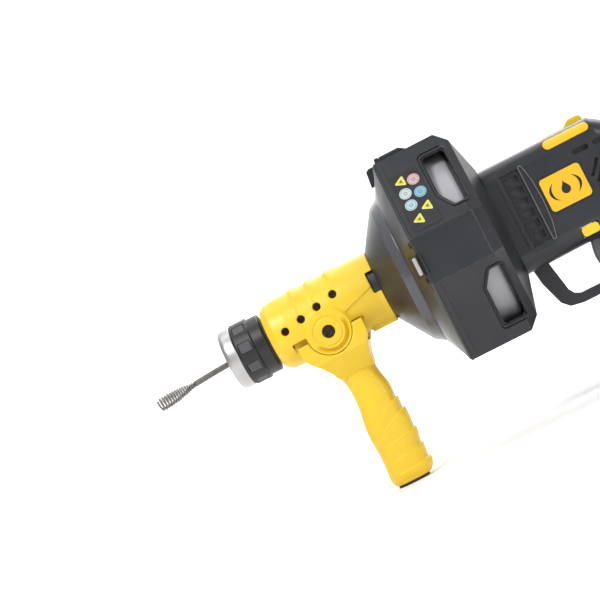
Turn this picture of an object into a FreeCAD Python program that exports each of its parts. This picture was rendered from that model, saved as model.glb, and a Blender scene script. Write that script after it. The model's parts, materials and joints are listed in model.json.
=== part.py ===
import FreeCAD, Part
import math
import os

import Sketcher
from FreeCAD import Placement, Rotation, Vector

# Hand-held cordless drain snake.  All sizes are millimetres.  The nose points towards -X, +Z is up, and
# the tool's left side faces -Y.  X = 0 is half-way along the tool without its free cable end, Z = 0 is
# the surface that the front handle and the battery stand on.  Heights called "level" in this file are
# measured from the tool's long axis, which runs along X at axis_height.

DIMENSIONS = {
    "axis_height": 190.0,
    "fit_gap": 0.3,  # between curved faces of bodies that move on each other
    "shaft_gap": 0.06,  # radial running clearance of a shaft in its hole
    # nose barrel
    "barrel_front": -196.5,
    "barrel_rear": -74.5,
    "barrel_radius": 36.5,
    "barrel_bore": 32.5,
    "barrel_lip_radius": 30.0,
    "barrel_lip_length": 7.0,
    "barrel_taper_length": 22.0,
    "barrel_shoulder": 35.0,
    "barrel_front_wall": 6.0,
    "notch_depth": 8.0,
    "notch_low": -5.0,
    "notch_high": 17.0,
    "saddle_length": 26.0,
    "saddle_level": -39.0,
    "saddle_half_width": 13.0,
    # handle pivot
    "pivot_place": -139.5,
    "pivot_level": -18.0,
    "pivot_bolt_radius": 4.0,
    "bulge_radius": 28.0,
    "bulge_half_width": 27.0,
    "boss_radius": 23.0,  # fixed boss that covers the handle's ear
    "boss_half_width": 38.5,
    "boss_ring_outer": 16.0,
    "boss_ring_inner": 13.4,
    "boss_ring_depth": 1.2,
    "boss_plate": 7.0,
    "ear_radius": 22.5,
    "saddle_front_room": 38.8,  # radius about the pivot that the saddle's ends sweep
    "saddle_rear_room": 36.8,
    "saddle_front_level": -14.4,  # how high each end reaches when the handle swings
    "saddle_rear_level": -19.5,
    "bolt_recess_radius": 6.6,
    "bolt_recess_depth": 4.5,
    "foot_pad_height": 2.5,
    # screws of the nose barrel: the row of four recessed heads climbs towards the rear
    "nose_screw_place": -178.2,
    "nose_screw_pitch": 19.4,
    "nose_screw_level": 1.0,
    "nose_screw_rise": 4.0,
    "nose_screw_recess": 4.2,
    "nose_screw_head": -29.5,
    "nose_screw_tip": -10.0,
    # feed collar, roller carrier and front ring
    "collar_front": -230.5,
    "collar_rear": -199.5,
    "collar_step": -211.5,
    "collar_radius": 32.5,
    "collar_rear_radius": 30.5,
    "core_radius": 25.0,
    "core_flange_radius": 32.2,
    "core_bore": 4.5,
    "spigot_radius": 18.0,
    "spigot_front": -238.0,
    "ring_front": -244.5,
    "ring_radius": 31.8,
    "ring_bore": 6.6,
    "pad_length": 13.0,
    "pad_width": 11.0,
    "pad_count": 9,
    "pad_depth": 2.0,
    "roller_place": -215.0,
    "roller_radius": 5.0,
    "roller_length": 8.0,
    "roller_axle_radius": 1.5,
    "roller_axle_length": 14.0,
    "roller_tilt": 20.0,  # degrees
    "block_width": 10.0,
    "block_length": 15.0,
    "block_top": 13.5,
    "block_lift": 2.0,
    "guide_radius": 6.0,
    "guide_bore": 3.9,
    # cable and its auger
    "cable_radius": 3.2,
    "coil_outer": 95.5,
    "coil_inner": 76.0,
    "coil_front": 0.0,
    "coil_rear": 32.0,
    "auger_length": 45.0,
    "auger_radius": 7.2,
    "auger_pitch_down": 4.8,  # degrees
    # drum housing: round cone in front, eight-sided behind
    "wall": 3.0,
    "cone_front_radius": 36.0,
    "cone_band": -50.5,
    "cone_band_radius": 72.5,
    "cone_edge": -40.5,
    "cone_edge_radius": 79.0,
    "hex_front": -27.0,
    "shell_seam": -19.5,
    "hex_rear": 38.0,
    "hex_height": 106.0,
    "hex_width": 109.0,
    "slope_edge": 49.5,
    "slope_height": 95.0,
    "drum_back": 60.5,
    "back_height": 57.0,
    "housing_rounding": 3.0,
    "neck_front": -86.5,
    "neck_radius": 32.3,
    "top_pad_front": -23.5,
    "top_pad_rear": 2.5,
    "top_pad_slope": 15.5,
    "top_pad_height": 113.0,
    "top_pad_half_width": 30.0,
    "drum_screw_seat": -26.6,
    "window_front": 17.5,
    "window_rear": 40.5,
    "window_low": -19.6,
    "window_high": 42.7,
    "window_margin": 4.5,
    "window_recess": 3.0,
    "label_front": -18.5,
    "label_rear": 10.5,
    "label_low": -30.0,
    "label_high": 38.0,
    "label_thickness": 0.5,
    # drum and bearings
    "drum_radius": 99.0,
    "drum_wall": 2.5,
    "drum_split": -8.0,
    "drum_neck_radius": 10.0,
    "front_bearing_radius": 19.0,
    "rear_bearing_radius": 13.0,
    "spindle_radius": 6.0,
    # gearbox and motor
    "gear_module": 1.0,
    "sun_teeth": 12,
    "planet_teeth": 18,
    "ring_teeth": 48,
    "gear_front": 72.3,
    "gear_rear": 83.5,
    "gearbox_radius": 38.0,
    "gearbox_rear": 104.0,
    "planet_pin_radius": 2.5,
    "rotor_radius": 21.5,
    "stator_radius": 29.0,
    "fan_radius": 26.0,
    "fan_blades": 9,
    # motor housing
    "body_front": 60.7,
    "body_step": 178.5,
    "body_slope_end": 193.5,
    "body_rear": 244.5,
    "body_half_width": 44.0,
    "body_half_height": 55.0,
    "body_corner": 20.0,
    "body_rear_top": 45.0,
    "body_rear_bottom": 50.0,
    "guard_half_width": 11.0,
    "foot_front": 112.0,
    "foot_rear": 238.0,
    "foot_half_width": 38.0,
    "foot_top": -128.0,
    "foot_bottom": -150.0,
    "vent_front": 77.0,
    "vent_rear": 96.0,
    "vent_low": -36.0,
    "vent_high": 40.0,
    "plate_front": 108.5,
    "plate_rear": 151.5,
    "plate_low": -15.0,
    "plate_high": 19.5,
    "plate_corner": 4.0,
    "plate_stand": 1.2,
    "bar_front": 128.5,
    "bar_rear": 176.5,
    "bar_level": 47.2,
    "bar_half_height": 4.7,
    "round_vent_place": 171.5,
    "round_vent_radius": 17.0,
    # controls
    "trigger_front": 129.5,
    "trigger_half_width": 8.0,
    "trigger_travel": 6.0,
    "button_front": 124.5,
    "button_rear": 142.5,
    "button_low": -50.0,
    "button_high": -40.0,
    "button_half_length": 43.6,
    "slider_front": 132.5,
    "slider_rear": 177.5,
    "slider_hump_front": 159.5,
    "slider_top": 62.0,
    "slider_half_width": 9.0,
    # battery
    "battery_front": 115.5,
    "battery_rear": 235.5,
    "battery_half_width": 38.0,
    "battery_top": -150.4,
    "battery_split": -160.0,
    "rail_half_width": 24.0,
    "rail_height": 6.0,
    "cell_radius": 10.5,
    "cell_pitch": 21.8,
    "cell_half_length": 35.0,
}

# Sections of the front handle below its saddle: level, front edge, rear edge, half width.
HANDLE_SECTIONS = (
    (-55.0, -157.0, -112.5, 22.0),
    (-64.0, -153.6, -114.2, 18.6),
    (-76.0, -150.6, -114.0, 17.5),
    (-91.0, -149.6, -111.0, 17.0),
    (-107.0, -151.0, -110.2, 17.8),
    (-124.0, -153.6, -108.0, 18.8),
    (-146.0, -153.1, -107.5, 18.8),
    (-168.0, -153.3, -108.0, 18.8),
    (-182.0, -153.6, -108.5, 18.4),
    (-187.5, -150.5, -114.5, 15.5),
)
# Sections of the main grip from the motor down to the battery foot.
GRIP_SECTIONS = (
    (-40.0, 134.0, 198.0, 20.0),
    (-60.0, 138.0, 191.0, 18.5),
    (-85.0, 140.0, 189.0, 17.5),
    (-108.0, 145.0, 193.0, 18.0),
    (-124.0, 148.0, 199.0, 20.0),
    (-136.0, 146.0, 206.0, 23.0),
)
# Sections of the motor housing from front to rear: place, half width, bottom level, top level.
BODY_SECTIONS = (
    ("body_front", 44.0, -57.0, 55.0),
    ("body_step", 44.0, -55.0, 55.0),
    ("body_slope_end", 42.0, -52.0, 45.0),
    ("body_rear_edge", 40.0, -46.0, 43.0),
    ("body_rear", 33.0, -38.0, 36.0),
)
BODY_REAR_EDGE = 236.0

doc = FreeCAD.newDocument("drain_snake")
sheet = doc.addObject("Spreadsheet::Sheet", "Dims")


class Size:
    """A number of the sheet, or a sum or product of them, with the expression that gives it."""

    def __init__(self, number, text):
        self.number = number
        self.text = text

    def __add__(self, other):
        return Size(self.number + number(other), f"({self.text} + {text(other)})")

    def __sub__(self, other):
        return Size(self.number - number(other), f"({self.text} - {text(other)})")

    def __mul__(self, other):
        return Size(self.number * number(other), f"({self.text} * {text(other)})")

    def __truediv__(self, other):
        return Size(self.number / number(other), f"({self.text} / {text(other)})")

    def __radd__(self, other):
        return Size(number(other) + self.number, f"({text(other)} + {self.text})")

    def __rsub__(self, other):
        return Size(number(other) - self.number, f"({text(other)} - {self.text})")

    __rmul__ = __mul__

    def __neg__(self):
        return self * -1


class Sheet:
    """The sheet's sizes as attributes, such as d.wall."""

    def __getattr__(self, alias):
        return Size(float(getattr(sheet, alias)), f"Dims.{alias}")


d = Sheet()


def number(value):
    return value.number if isinstance(value, Size) else float(value)


def text(value):
    return value.text if isinstance(value, Size) else repr(float(value))


def fill_sheet():
    for row, (alias, value) in enumerate(DIMENSIONS.items(), start=1):
        sheet.set(f"A{row}", alias)
        sheet.set(f"B{row}", str(value))
        sheet.setAlias(f"B{row}", alias)
    doc.recompute()


def bind(thing, place, value):
    """Binds one property to a size of the sheet, or sets it where the value is a plain number."""
    thing.setExpression(place, text(value))


# ---- Part primitives and booleans ----

TURN_TO_AXIS = {
    "x": Rotation(Vector(0, 1, 0), 90),
    "y": Rotation(Vector(1, 0, 0), -90),
    "z": Rotation(),
}


def place_at(thing, x, y, level):
    bind(thing, "Placement.Base.x", x)
    bind(thing, "Placement.Base.y", y)
    bind(thing, "Placement.Base.z", d.axis_height + level)


def block(label, x, y, level):
    """Box between pairs of X, Y and level."""
    box = doc.addObject("Part::Box", label)
    for side, pair in (("Length", x), ("Width", y), ("Height", level)):
        bind(box, side, pair[1] - pair[0])
    place_at(box, x[0], y[0], level[0])
    return box


def rod(label, axis, along, radius, across):
    """Cylinder along one axis between a pair of places, at two coordinates across it."""
    cylinder = doc.addObject("Part::Cylinder", label)
    bind(cylinder, "Radius", radius)
    bind(cylinder, "Height", along[1] - along[0])
    cylinder.Placement = Placement(Vector(), TURN_TO_AXIS[axis])
    low = {
        "x": (along[0], across[0], across[1]),
        "y": (across[0], along[0], across[1]),
        "z": (across[0], across[1], along[0]),
    }[axis]
    place_at(cylinder, *low)
    return cylinder


def join(label, *things):
    whole = doc.addObject("Part::MultiFuse", label)
    whole.Shapes = list(things)
    return whole


def take(label, base, *tools):
    rest = doc.addObject("Part::Cut", label)
    rest.Base = base
    rest.Tool = tools[0] if len(tools) == 1 else join(f"{label}_tools", *tools)
    return rest


def share(label, first, second):
    both = doc.addObject("Part::Common", label)
    both.Base = first
    both.Tool = second
    return both


def group(label, *things):
    """Separate solids of one node."""
    several = doc.addObject("Part::Compound", label)
    several.Links = list(things)
    return several


def plain(label, shape):
    """Shape made from the sheet's numbers where no feature of its own fits it."""
    feature = doc.addObject("Part::Feature", label)
    feature.Shape = shape
    return feature


def slot_across(label, x, level, radius, y):
    """Stadium outline in side view, run along Y."""
    left = rod(f"{label}_front", "y", y, radius, (x[0] + radius, level))
    right = rod(f"{label}_rear", "y", y, radius, (x[1] - radius, level))
    middle = block(f"{label}_middle", (x[0] + radius, x[1] - radius), y, (level - radius, level + radius))
    return join(label, left, right, middle)


def both_sides(label, left):
    """A piece on the left side with its mirror image on the right."""
    mirror = doc.addObject("Part::Mirroring", f"{label}_right")
    mirror.Source = left
    mirror.Normal = Vector(0, 1, 0)
    return group(label, left, mirror)


# ---- PartDesign bodies ----


def new_body(label):
    body = doc.addObject("PartDesign::Body", label)
    bind(body, "Placement.Base.z", d.axis_height)
    return body


def sketch_on(body, role, depth=0):
    sketch = body.newObject("Sketcher::SketchObject", f"{body.Name}_outline")
    sketch.AttachmentSupport = [(next(o for o in body.Origin.OriginFeatures if o.Role == role), "")]
    sketch.MapMode = "FlatFace"
    bind(sketch, "AttachmentOffset.Base.z", depth)
    return sketch


def outline(sketch, points):
    """Closed outline of straight lines, every corner bound to its two sizes."""
    count = len(points)
    corners = [Vector(number(x), number(y), 0) for x, y in points]
    lines = [Part.LineSegment(corners[i], corners[(i + 1) % count]) for i in range(count)]
    sketch.addGeometry(lines, False)
    sketch.addConstraint([Sketcher.Constraint("Coincident", i, 2, (i + 1) % count, 1) for i in range(count)])
    for corner, place in enumerate(points):
        for kind, value in zip(("DistanceX", "DistanceY"), place):
            index = sketch.addConstraint(Sketcher.Constraint(kind, -1, 1, corner, 1, number(value)))
            bind(sketch, f"Constraints[{index}]", value)


def turned(label, points):
    """Body turned about the long axis from an outline of (place, radius) corners."""
    body = new_body(label)
    sketch = sketch_on(body, "XZ_Plane")
    outline(sketch, points)
    turn = body.newObject("PartDesign::Revolution", f"{label}_turn")
    turn.Profile = sketch
    turn.ReferenceAxis = (sketch, ["H_Axis"])
    turn.Angle = 360
    return body


def padded(label, role, points, low, high):
    """Body padded from low to high along the axis that the origin plane faces."""
    body = new_body(label)
    depth = -high if role == "XZ_Plane" else low
    sketch = sketch_on(body, role, depth)
    outline(sketch, points)
    pad = body.newObject("PartDesign::Pad", f"{label}_pad")
    pad.Profile = sketch
    bind(pad, "Length", high - low)
    return body


def is_along(axis):
    """Picks straight edges that run along one axis."""

    def chosen(edge):
        run = edge.Vertexes[-1].Point - edge.Vertexes[0].Point
        return run.Length > 0 and abs(run.normalize().dot(axis)) > 0.999

    return chosen


def soften(body, radius, chosen):
    """Fillet on the picked edges of the body as it stands."""
    doc.recompute()
    tip = body.Tip
    names = [f"Edge{i}" for i, edge in enumerate(tip.Shape.Edges, start=1) if chosen(edge)]
    fillet = body.newObject("PartDesign::Fillet", f"{body.Name}_fillet")
    fillet.Base = (tip, names)
    bind(fillet, "Radius", radius)
    body.Tip = fillet
    return body


def rounded_block(label, x, y, level, radius, axis):
    """Block whose four edges along one axis are rounded."""
    sides = {"XY_Plane": (x, y, level), "XZ_Plane": (x, level, y), "YZ_Plane": (y, level, x)}
    role = {"x": "YZ_Plane", "y": "XZ_Plane", "z": "XY_Plane"}[axis]
    a, b, along = sides[role]
    corners = [(a[0], b[0]), (a[1], b[0]), (a[1], b[1]), (a[0], b[1])]
    body = padded(label, role, corners, *along)
    direction = {"x": Vector(1, 0, 0), "y": Vector(0, 1, 0), "z": Vector(0, 0, 1)}[axis]
    return soften(body, radius, is_along(direction))


# ---- lofted shapes ----


def oval(level, front, rear, half_width, power=2.5, count=24):
    """Closed smooth section across Z with full, rounded corners."""
    middle = (front + rear) / 2
    half_length = (rear - front) / 2
    points = []
    for i in range(count):
        turn = 2 * math.pi * i / count
        across = math.copysign(abs(math.cos(turn)) ** (2 / power), math.cos(turn))
        beside = math.copysign(abs(math.sin(turn)) ** (2 / power), math.sin(turn))
        height = number(d.axis_height) + level
        points.append(Vector(middle + half_length * across, half_width * beside, height))
    curve = Part.BSplineCurve()
    curve.interpolate(points, PeriodicFlag=True)
    return Part.Wire([curve.toShape()])


def oval_loft(sections, inset=0.0):
    wires = [oval(z, front + inset, rear - inset, half - inset) for z, front, rear, half in sections]
    return Part.makeLoft(wires, True, False)


def corner_points(x, height, width):
    """Corners of the drum housing's eight-sided section, from the top right round."""
    shoulder = height / math.sqrt(3)
    crease = 2 * height - width * math.sqrt(3)
    quarter = [(shoulder, height), (width, crease)]
    right = quarter + [(y, -z) for y, z in reversed(quarter)]
    around = right + [(-y, z) for y, z in reversed(right)]
    axis = number(d.axis_height)
    return [Vector(x, y, axis + z) for y, z in around]


def eight_sided(x, height, width):
    points = corner_points(x, height, width)
    return Part.makePolygon(points + points[:1])


def round_section(x, radius):
    """Circle cut into eight arcs that match the sides of the eight-sided section."""
    corners = corner_points(x, number(d.hex_height), number(d.hex_width))
    centre = Vector(x, 0, number(d.axis_height))
    arcs = []
    for first, second in zip(corners, corners[1:] + corners[:1]):
        start, middle, end = ((p - centre).normalize() for p in (first, (first + second) / 2, second))
        start, middle, end = (centre + p * radius for p in (start, middle, end))
        arcs.append(Part.Arc(start, middle, end).toShape())
    return Part.Wire(arcs)


def drum_housing_solid(inset, rounding=0.0):
    """Outer form of the drum housing, or the hollow inside it where inset is the wall."""
    wide = number(d.hex_width) - inset
    back_width = number(d.hex_width) * number(d.back_height) / number(d.hex_height) - inset
    slope_width = number(d.hex_width) * number(d.slope_height) / number(d.hex_height) - inset
    sections = [
        round_section(number(d.barrel_rear), number(d.cone_front_radius) - inset),
        round_section(number(d.cone_band), number(d.cone_band_radius) - inset),
        round_section(number(d.cone_edge) + inset / 2, number(d.cone_edge_radius) - inset),
        eight_sided(number(d.hex_front) + inset / 2, number(d.hex_height) - inset, wide),
        eight_sided(number(d.hex_rear) - inset / 4, number(d.hex_height) - inset, wide),
        eight_sided(number(d.slope_edge) - inset / 2, number(d.slope_height) - inset, slope_width),
        eight_sided(number(d.drum_back) - inset, number(d.back_height) - inset, back_width),
    ]
    solid = Part.makeLoft(sections, True, True)
    if rounding:
        solid = solid.makeFillet(rounding, [e for e in solid.Edges if is_housing_edge(e)])
    return solid


def is_housing_edge(edge):
    """Picks the long edges and rims of the eight-sided part, not those of the round cone."""
    box = edge.BoundBox
    straight = edge.Curve.TypeId == "Part::GeomLine"
    return straight and box.XMin > number(d.hex_front) - 1 and box.XMax < number(d.slope_edge) + 1


def rounded_section(x, half_width, low, high, radius):
    """Rounded rectangle across X."""
    axis = number(d.axis_height)
    inner_y, low_z, high_z = half_width - radius, axis + low + radius, axis + high - radius
    diagonal = radius / math.sqrt(2)
    edges = []
    centres = [(inner_y, high_z, 1, 1), (inner_y, low_z, 1, -1), (-inner_y, low_z, -1, -1), (-inner_y, high_z, -1, 1)]
    ends = []
    for y, z, side, up in centres:
        upright, flat = Vector(x, y + side * radius, z), Vector(x, y, z + up * radius)
        middle = Vector(x, y + side * diagonal, z + up * diagonal)
        first, last = (flat, upright) if side * up > 0 else (upright, flat)
        ends.append((first, middle, last))
    for i, (first, middle, last) in enumerate(ends):
        edges.append(Part.Arc(first, middle, last).toShape())
        edges.append(Part.LineSegment(last, ends[(i + 1) % 4][0]).toShape())
    return Part.Wire(edges)


def body_loft(inset):
    """Outer form of the motor housing, or its hollow."""
    places = {alias: number(getattr(d, alias)) for alias in ("body_front", "body_step", "body_slope_end", "body_rear")}
    places["body_rear_edge"] = BODY_REAR_EDGE
    radius = number(d.body_corner) - inset
    wires = []
    for alias, half_width, low, high in BODY_SECTIONS:
        x = places[alias] - (inset if alias == "body_rear" else 0)
        wires.append(rounded_section(x, half_width - inset, low + inset, high - inset, radius))
    return Part.makeLoft(wires, True, True)


def bent_tube(points, radius):
    """Round tube along straight runs in the XZ plane that tangent arcs join."""
    axis = number(d.axis_height)
    path = [Vector(x, 0, axis + level) for x, level in points]
    edges = []
    start = path[0]
    for before, corner, after in zip(path, path[1:], path[2:]):
        into, out = (corner - before), (after - corner)
        reach = 0.45 * min(into.Length, out.Length)
        first, last = corner - into.normalize() * reach, corner + out.normalize() * reach
        turn = into.getAngle(out)
        bend = reach / math.tan(turn / 2)
        print(f"bend radius {bend:.1f} mm")
        inward = (out - into).normalize()
        centre = corner + inward * (bend / math.cos(turn / 2))
        edges.append(Part.LineSegment(start, first).toShape())
        edges.append(Part.Arc(first, centre - inward * bend, last).toShape())
        start = last
    edges.append(Part.LineSegment(start, path[-1]).toShape())
    wire = Part.Wire(edges)
    direction = (path[1] - path[0]).normalize()
    ring = Part.Wire([Part.makeCircle(radius, path[0], direction)])
    tube = wire.makePipeShell([ring], True, False)
    print(f"tube length {wire.Length:.1f} mm, volume over section {tube.Volume / (math.pi * radius**2):.1f} mm")
    return tube


def gear_shape(teeth, module, low, high, bore, outer=None, phase=0.0):
    """Spur gear about the long axis with straight-flanked teeth, or a ring gear where outer is given."""
    internal = outer is not None
    pitch_radius = teeth * module / 2
    tip, root = (-0.85 * module, 1.05 * module) if internal else (0.85 * module, -1.05 * module)
    step = 2 * math.pi / teeth
    points = []
    for tooth in range(teeth):
        for part, radius in ((-0.3, root), (-0.11, tip), (0.11, tip), (0.3, root)):
            turn = phase + (tooth + part) * step
            length = pitch_radius + radius
            points.append(Vector(low, length * math.sin(turn), length * math.cos(turn)))
    toothed = Part.Wire(Part.makePolygon(points + points[:1]))
    centre = Vector(low, 0, 0)
    circle = Part.Wire([Part.makeCircle(outer if internal else bore, centre, Vector(1, 0, 0))])
    if internal:
        face = Part.Face(circle).cut(Part.Face(toothed))
    elif bore:
        face = Part.Face(toothed).cut(Part.Face(circle))
    else:
        face = Part.Face(toothed)
    solid = face.extrude(Vector(high - low, 0, 0))
    return solid.Solids[0]


def move_to(thing, y, level):
    thing.Placement = Placement(Vector(0, y, number(d.axis_height) + level), Rotation())
    return thing


# ---- nose barrel and front handle ----


def left_and_right(label, whole):
    """Splits a housing into its two half shells."""
    wide, tall = 200, 250
    length = (-320, 320)
    left = share(f"{label}_left", whole, block(f"{label}_left_side", length, (-wide, 0), (-tall, tall)))
    right = share(f"{label}_right", whole, block(f"{label}_right_side", length, (0, wide), (-tall, tall)))
    return [left, right]


def nose_screw_spots():
    for i in range(4):
        place = d.nose_screw_place + d.nose_screw_pitch * i
        yield i, place, d.nose_screw_level + d.nose_screw_rise * i


def barrel_shell():
    front, rear = d.barrel_front, d.barrel_rear
    lip = d.core_radius + d.fit_gap
    return turned("barrel", [
        (front, lip),
        (front, d.barrel_lip_radius),
        (front + d.barrel_lip_length, d.barrel_shoulder),
        (front + d.barrel_taper_length, d.barrel_radius),
        (rear, d.barrel_radius),
        (rear, d.barrel_bore),
        (front + d.barrel_front_wall, d.barrel_bore),
        (front + d.barrel_front_wall, lip),
    ])


def shingles():
    """Three ridges that stand out on top of the barrel and fade down its sides."""
    ridges = []
    for i, place in enumerate((-161.5, -142.5, -121.5)):
        ridge = doc.addObject("Part::Cone", f"shingle_{i}")
        bind(ridge, "Radius1", d.barrel_radius)
        bind(ridge, "Radius2", d.barrel_radius - 1.6)
        ridge.Height = 12
        ridge.Placement = Placement(Vector(), TURN_TO_AXIS["x"])
        place_at(ridge, place, 0, 1.3)
        ridges.append(ridge)
    return ridges


def pivot_bulge():
    """Hollow disc inside the barrel that the handle's fork straddles, with the bolt's sleeve and cheeks."""
    pivot = (d.pivot_place, d.pivot_level)
    wide = d.bulge_half_width
    bulge = take(
        "bulge",
        rod("bulge_disc", "y", (-wide, wide), d.bulge_radius, pivot),
        rod("bulge_hollow", "y", (-wide + 4.5, wide - 4.5), d.bulge_radius - 3.5, pivot),
        block("bulge_way", (d.barrel_rear - 110, d.barrel_rear), (-13.4, 7), (-7, 18)),
    )
    sleeve = rod("bolt_sleeve", "y", (-wide, wide), 8, pivot)
    cheek_span = (d.pivot_place - 38, d.pivot_place + 38)
    cheeks = [
        block(f"cheek_{side}", cheek_span, y, (-31, -9))
        for side, y in (("left", (-wide, -wide + 4)), ("right", (wide - 4, wide)))
    ]
    inner_round = rod("cheek_limit", "x", (d.barrel_front + 8, d.barrel_rear), d.barrel_radius - 0.5, (0, 0))
    return [bulge, sleeve, share("cheek_plates", join("cheeks", *cheeks), inner_round)]


def pivot_bosses():
    """Outer bosses over the handle's ears, coned where they grow out of the barrel."""
    pivot = (d.pivot_place, d.pivot_level)
    outer, inner = d.boss_half_width, d.boss_half_width - d.boss_plate
    bosses = []
    for side, y, sign in (("left", (-outer, -inner), -1), ("right", (inner, outer), 1)):
        disc = rod(f"boss_{side}", "y", y, d.boss_radius, pivot)
        flare = doc.addObject("Part::Cone", f"boss_flare_{side}")
        bind(flare, "Radius1", d.boss_radius + 9)
        bind(flare, "Radius2", d.boss_radius - 1)
        flare.Height = 8
        flare.Placement = Placement(Vector(), Rotation(Vector(1, 0, 0), -90 * sign))
        place_at(flare, d.pivot_place, sign * (outer - 8), d.pivot_level)
        above = join(f"boss_flare_limit_{side}", *[
            block(f"boss_flare_{end}_{side}", x, (-60, 60), (level, 30)) for end, x, _, level in saddle_ends()
        ])
        ring = take(
            f"boss_groove_{side}",
            rod(f"boss_groove_outer_{side}", "y", y, d.boss_ring_outer, pivot),
            rod(f"boss_groove_inner_{side}", "y", y, d.boss_ring_inner, pivot),
        )
        shift = sign * (d.boss_plate - d.boss_ring_depth)
        bind(ring, "Placement.Base.y", shift)
        flare_top = share(f"boss_flare_top_{side}", flare, above)
        bosses.append(take(f"boss_grooved_{side}", join(f"boss_form_{side}", disc, flare_top), ring))
    return bosses


def saddle_ends():
    yield "front", (-200, d.pivot_place), d.saddle_front_room, d.saddle_front_level
    yield "rear", (d.pivot_place, -60), d.saddle_rear_room, d.saddle_rear_level


def saddle_room():
    """Space in the barrel for the handle's fork over its whole swing, behind and around the bosses."""
    pivot = (d.pivot_place, d.pivot_level)
    inner, cover = d.bulge_half_width + 0.1, d.boss_half_width - d.boss_plate
    rooms = []
    for side, near, far, cover_y in (
        ("left", -inner, -60, (-60, -cover)), ("right", inner, 60, (cover, 60)),
    ):
        span = (far, near) if side == "left" else (near, far)
        ear_span = (-cover, near) if side == "left" else (near, cover)
        for end, x, radius, level in saddle_ends():
            ring = rod(f"saddle_disc_{end}_{side}", "y", span, radius, pivot)
            below = block(f"saddle_room_limit_{end}_{side}", x, (-60, 60), (-70, level))
            rooms.append(take(
                f"saddle_room_{end}_{side}", share(f"saddle_low_{end}_{side}", ring, below),
                rod(f"boss_kept_{end}_{side}", "y", cover_y, d.boss_radius, pivot),
            ))
        rooms.append(rod(f"ear_room_{side}", "y", ear_span, d.ear_radius + 0.5, pivot))
    return rooms


def nose_housing():
    rear = d.barrel_rear
    saddle = block(
        "rear_saddle", (rear - d.saddle_length, rear), (-d.saddle_half_width, d.saddle_half_width),
        (d.saddle_level, -d.barrel_bore - 1),
    )
    screw_bosses = share("screw_bosses", join("screw_boss_rods", *[
        rod(f"screw_boss_{i}", "y", (-36, -13), 5.8, (x, level)) for i, x, level in nose_screw_spots()
    ]), rod("screw_boss_limit", "x", (d.barrel_front + 8, rear), d.barrel_radius - 1, (0, 0)))
    hollow = rod("barrel_hollow", "x", (d.barrel_front + d.barrel_front_wall, rear), d.barrel_bore, (0, 0))
    skin = take("barrel_skin", join("barrel_outside", barrel_shell(), *shingles(), *pivot_bosses()), hollow)
    solid = join("barrel_body", skin, *pivot_bulge(), saddle, screw_bosses)
    cuts = saddle_room()
    pivot = (d.pivot_place, d.pivot_level)
    cuts.append(rod("bolt_way", "y", (-60, 60), d.pivot_bolt_radius + 0.2, pivot))
    seat = d.boss_half_width - d.bolt_recess_depth
    cuts.append(rod("bolt_head_recess", "y", (-60, -seat), d.bolt_recess_radius, pivot))
    cuts.append(rod("nut_recess", "y", (seat, 60), d.bolt_recess_radius + 1.4, pivot))
    notch = (rear - d.notch_depth, rear + 1)
    for side, y in (("left", (-40, -20)), ("right", (20, 40))):
        cuts.append(block(f"notch_{side}", notch, y, (d.notch_low, d.notch_high)))
    for i, x, level in nose_screw_spots():
        cuts.append(rod(f"screw_recess_{i}", "y", (-40, -26.5), d.nose_screw_recess, (x, level)))
        cuts.append(rod(f"screw_way_{i}", "y", (-40, -10), 1.8, (x, level)))
    return left_and_right("nose_housing", take("barrel_cut", solid, *cuts))


def screw(label, axis, head, tip, across, head_radius, shank_radius, head_height):
    """Pan-headed screw with a round driver recess, from the head's outer face to its tip."""
    inward = 1 if number(tip) > number(head) else -1
    neck = head + inward * head_height
    ends = [(head, neck), (neck, tip)]
    ends = [pair if inward > 0 else pair[::-1] for pair in ends]
    top = rod(f"{label}_head", axis, ends[0], head_radius, across)
    shank = rod(f"{label}_shank", axis, ends[1], shank_radius, across)
    floor = head + inward * head_height * 0.6
    deep = (head, floor) if inward > 0 else (floor, head)
    drive = rod(f"{label}_drive", axis, deep, head_radius * 0.45, across)
    return take(label, join(f"{label}_body", top, shank), drive)


def nose_screws():
    return group("nose_screws", *[
        screw(f"nose_screw_{i}", "y", d.nose_screw_head, d.nose_screw_tip, (x, level), 3.4, 1.6, 2.8)
        for i, x, level in nose_screw_spots()
    ])


HANDLE_SIDE = (
    (-174.5, -20.0), (-175.5, -31.0), (-170.5, -39.5), (-162.5, -48.5), (-156.0, -58.0), (-153.0, -66.0),
    (-114.2, -66.0), (-113.5, -56.0), (-109.5, -44.0), (-104.5, -34.0), (-104.5, -20.0),
)
HANDLE_FRONT = (
    (-38.2, -19.0), (-38.4, -36.0), (-36.0, -44.0), (-29.0, -54.0), (-21.5, -63.0), (-17.0, -68.0),
    (17.0, -68.0), (21.5, -63.0), (29.0, -54.0), (36.0, -44.0), (38.4, -36.0), (38.2, -19.0),
)


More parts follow.
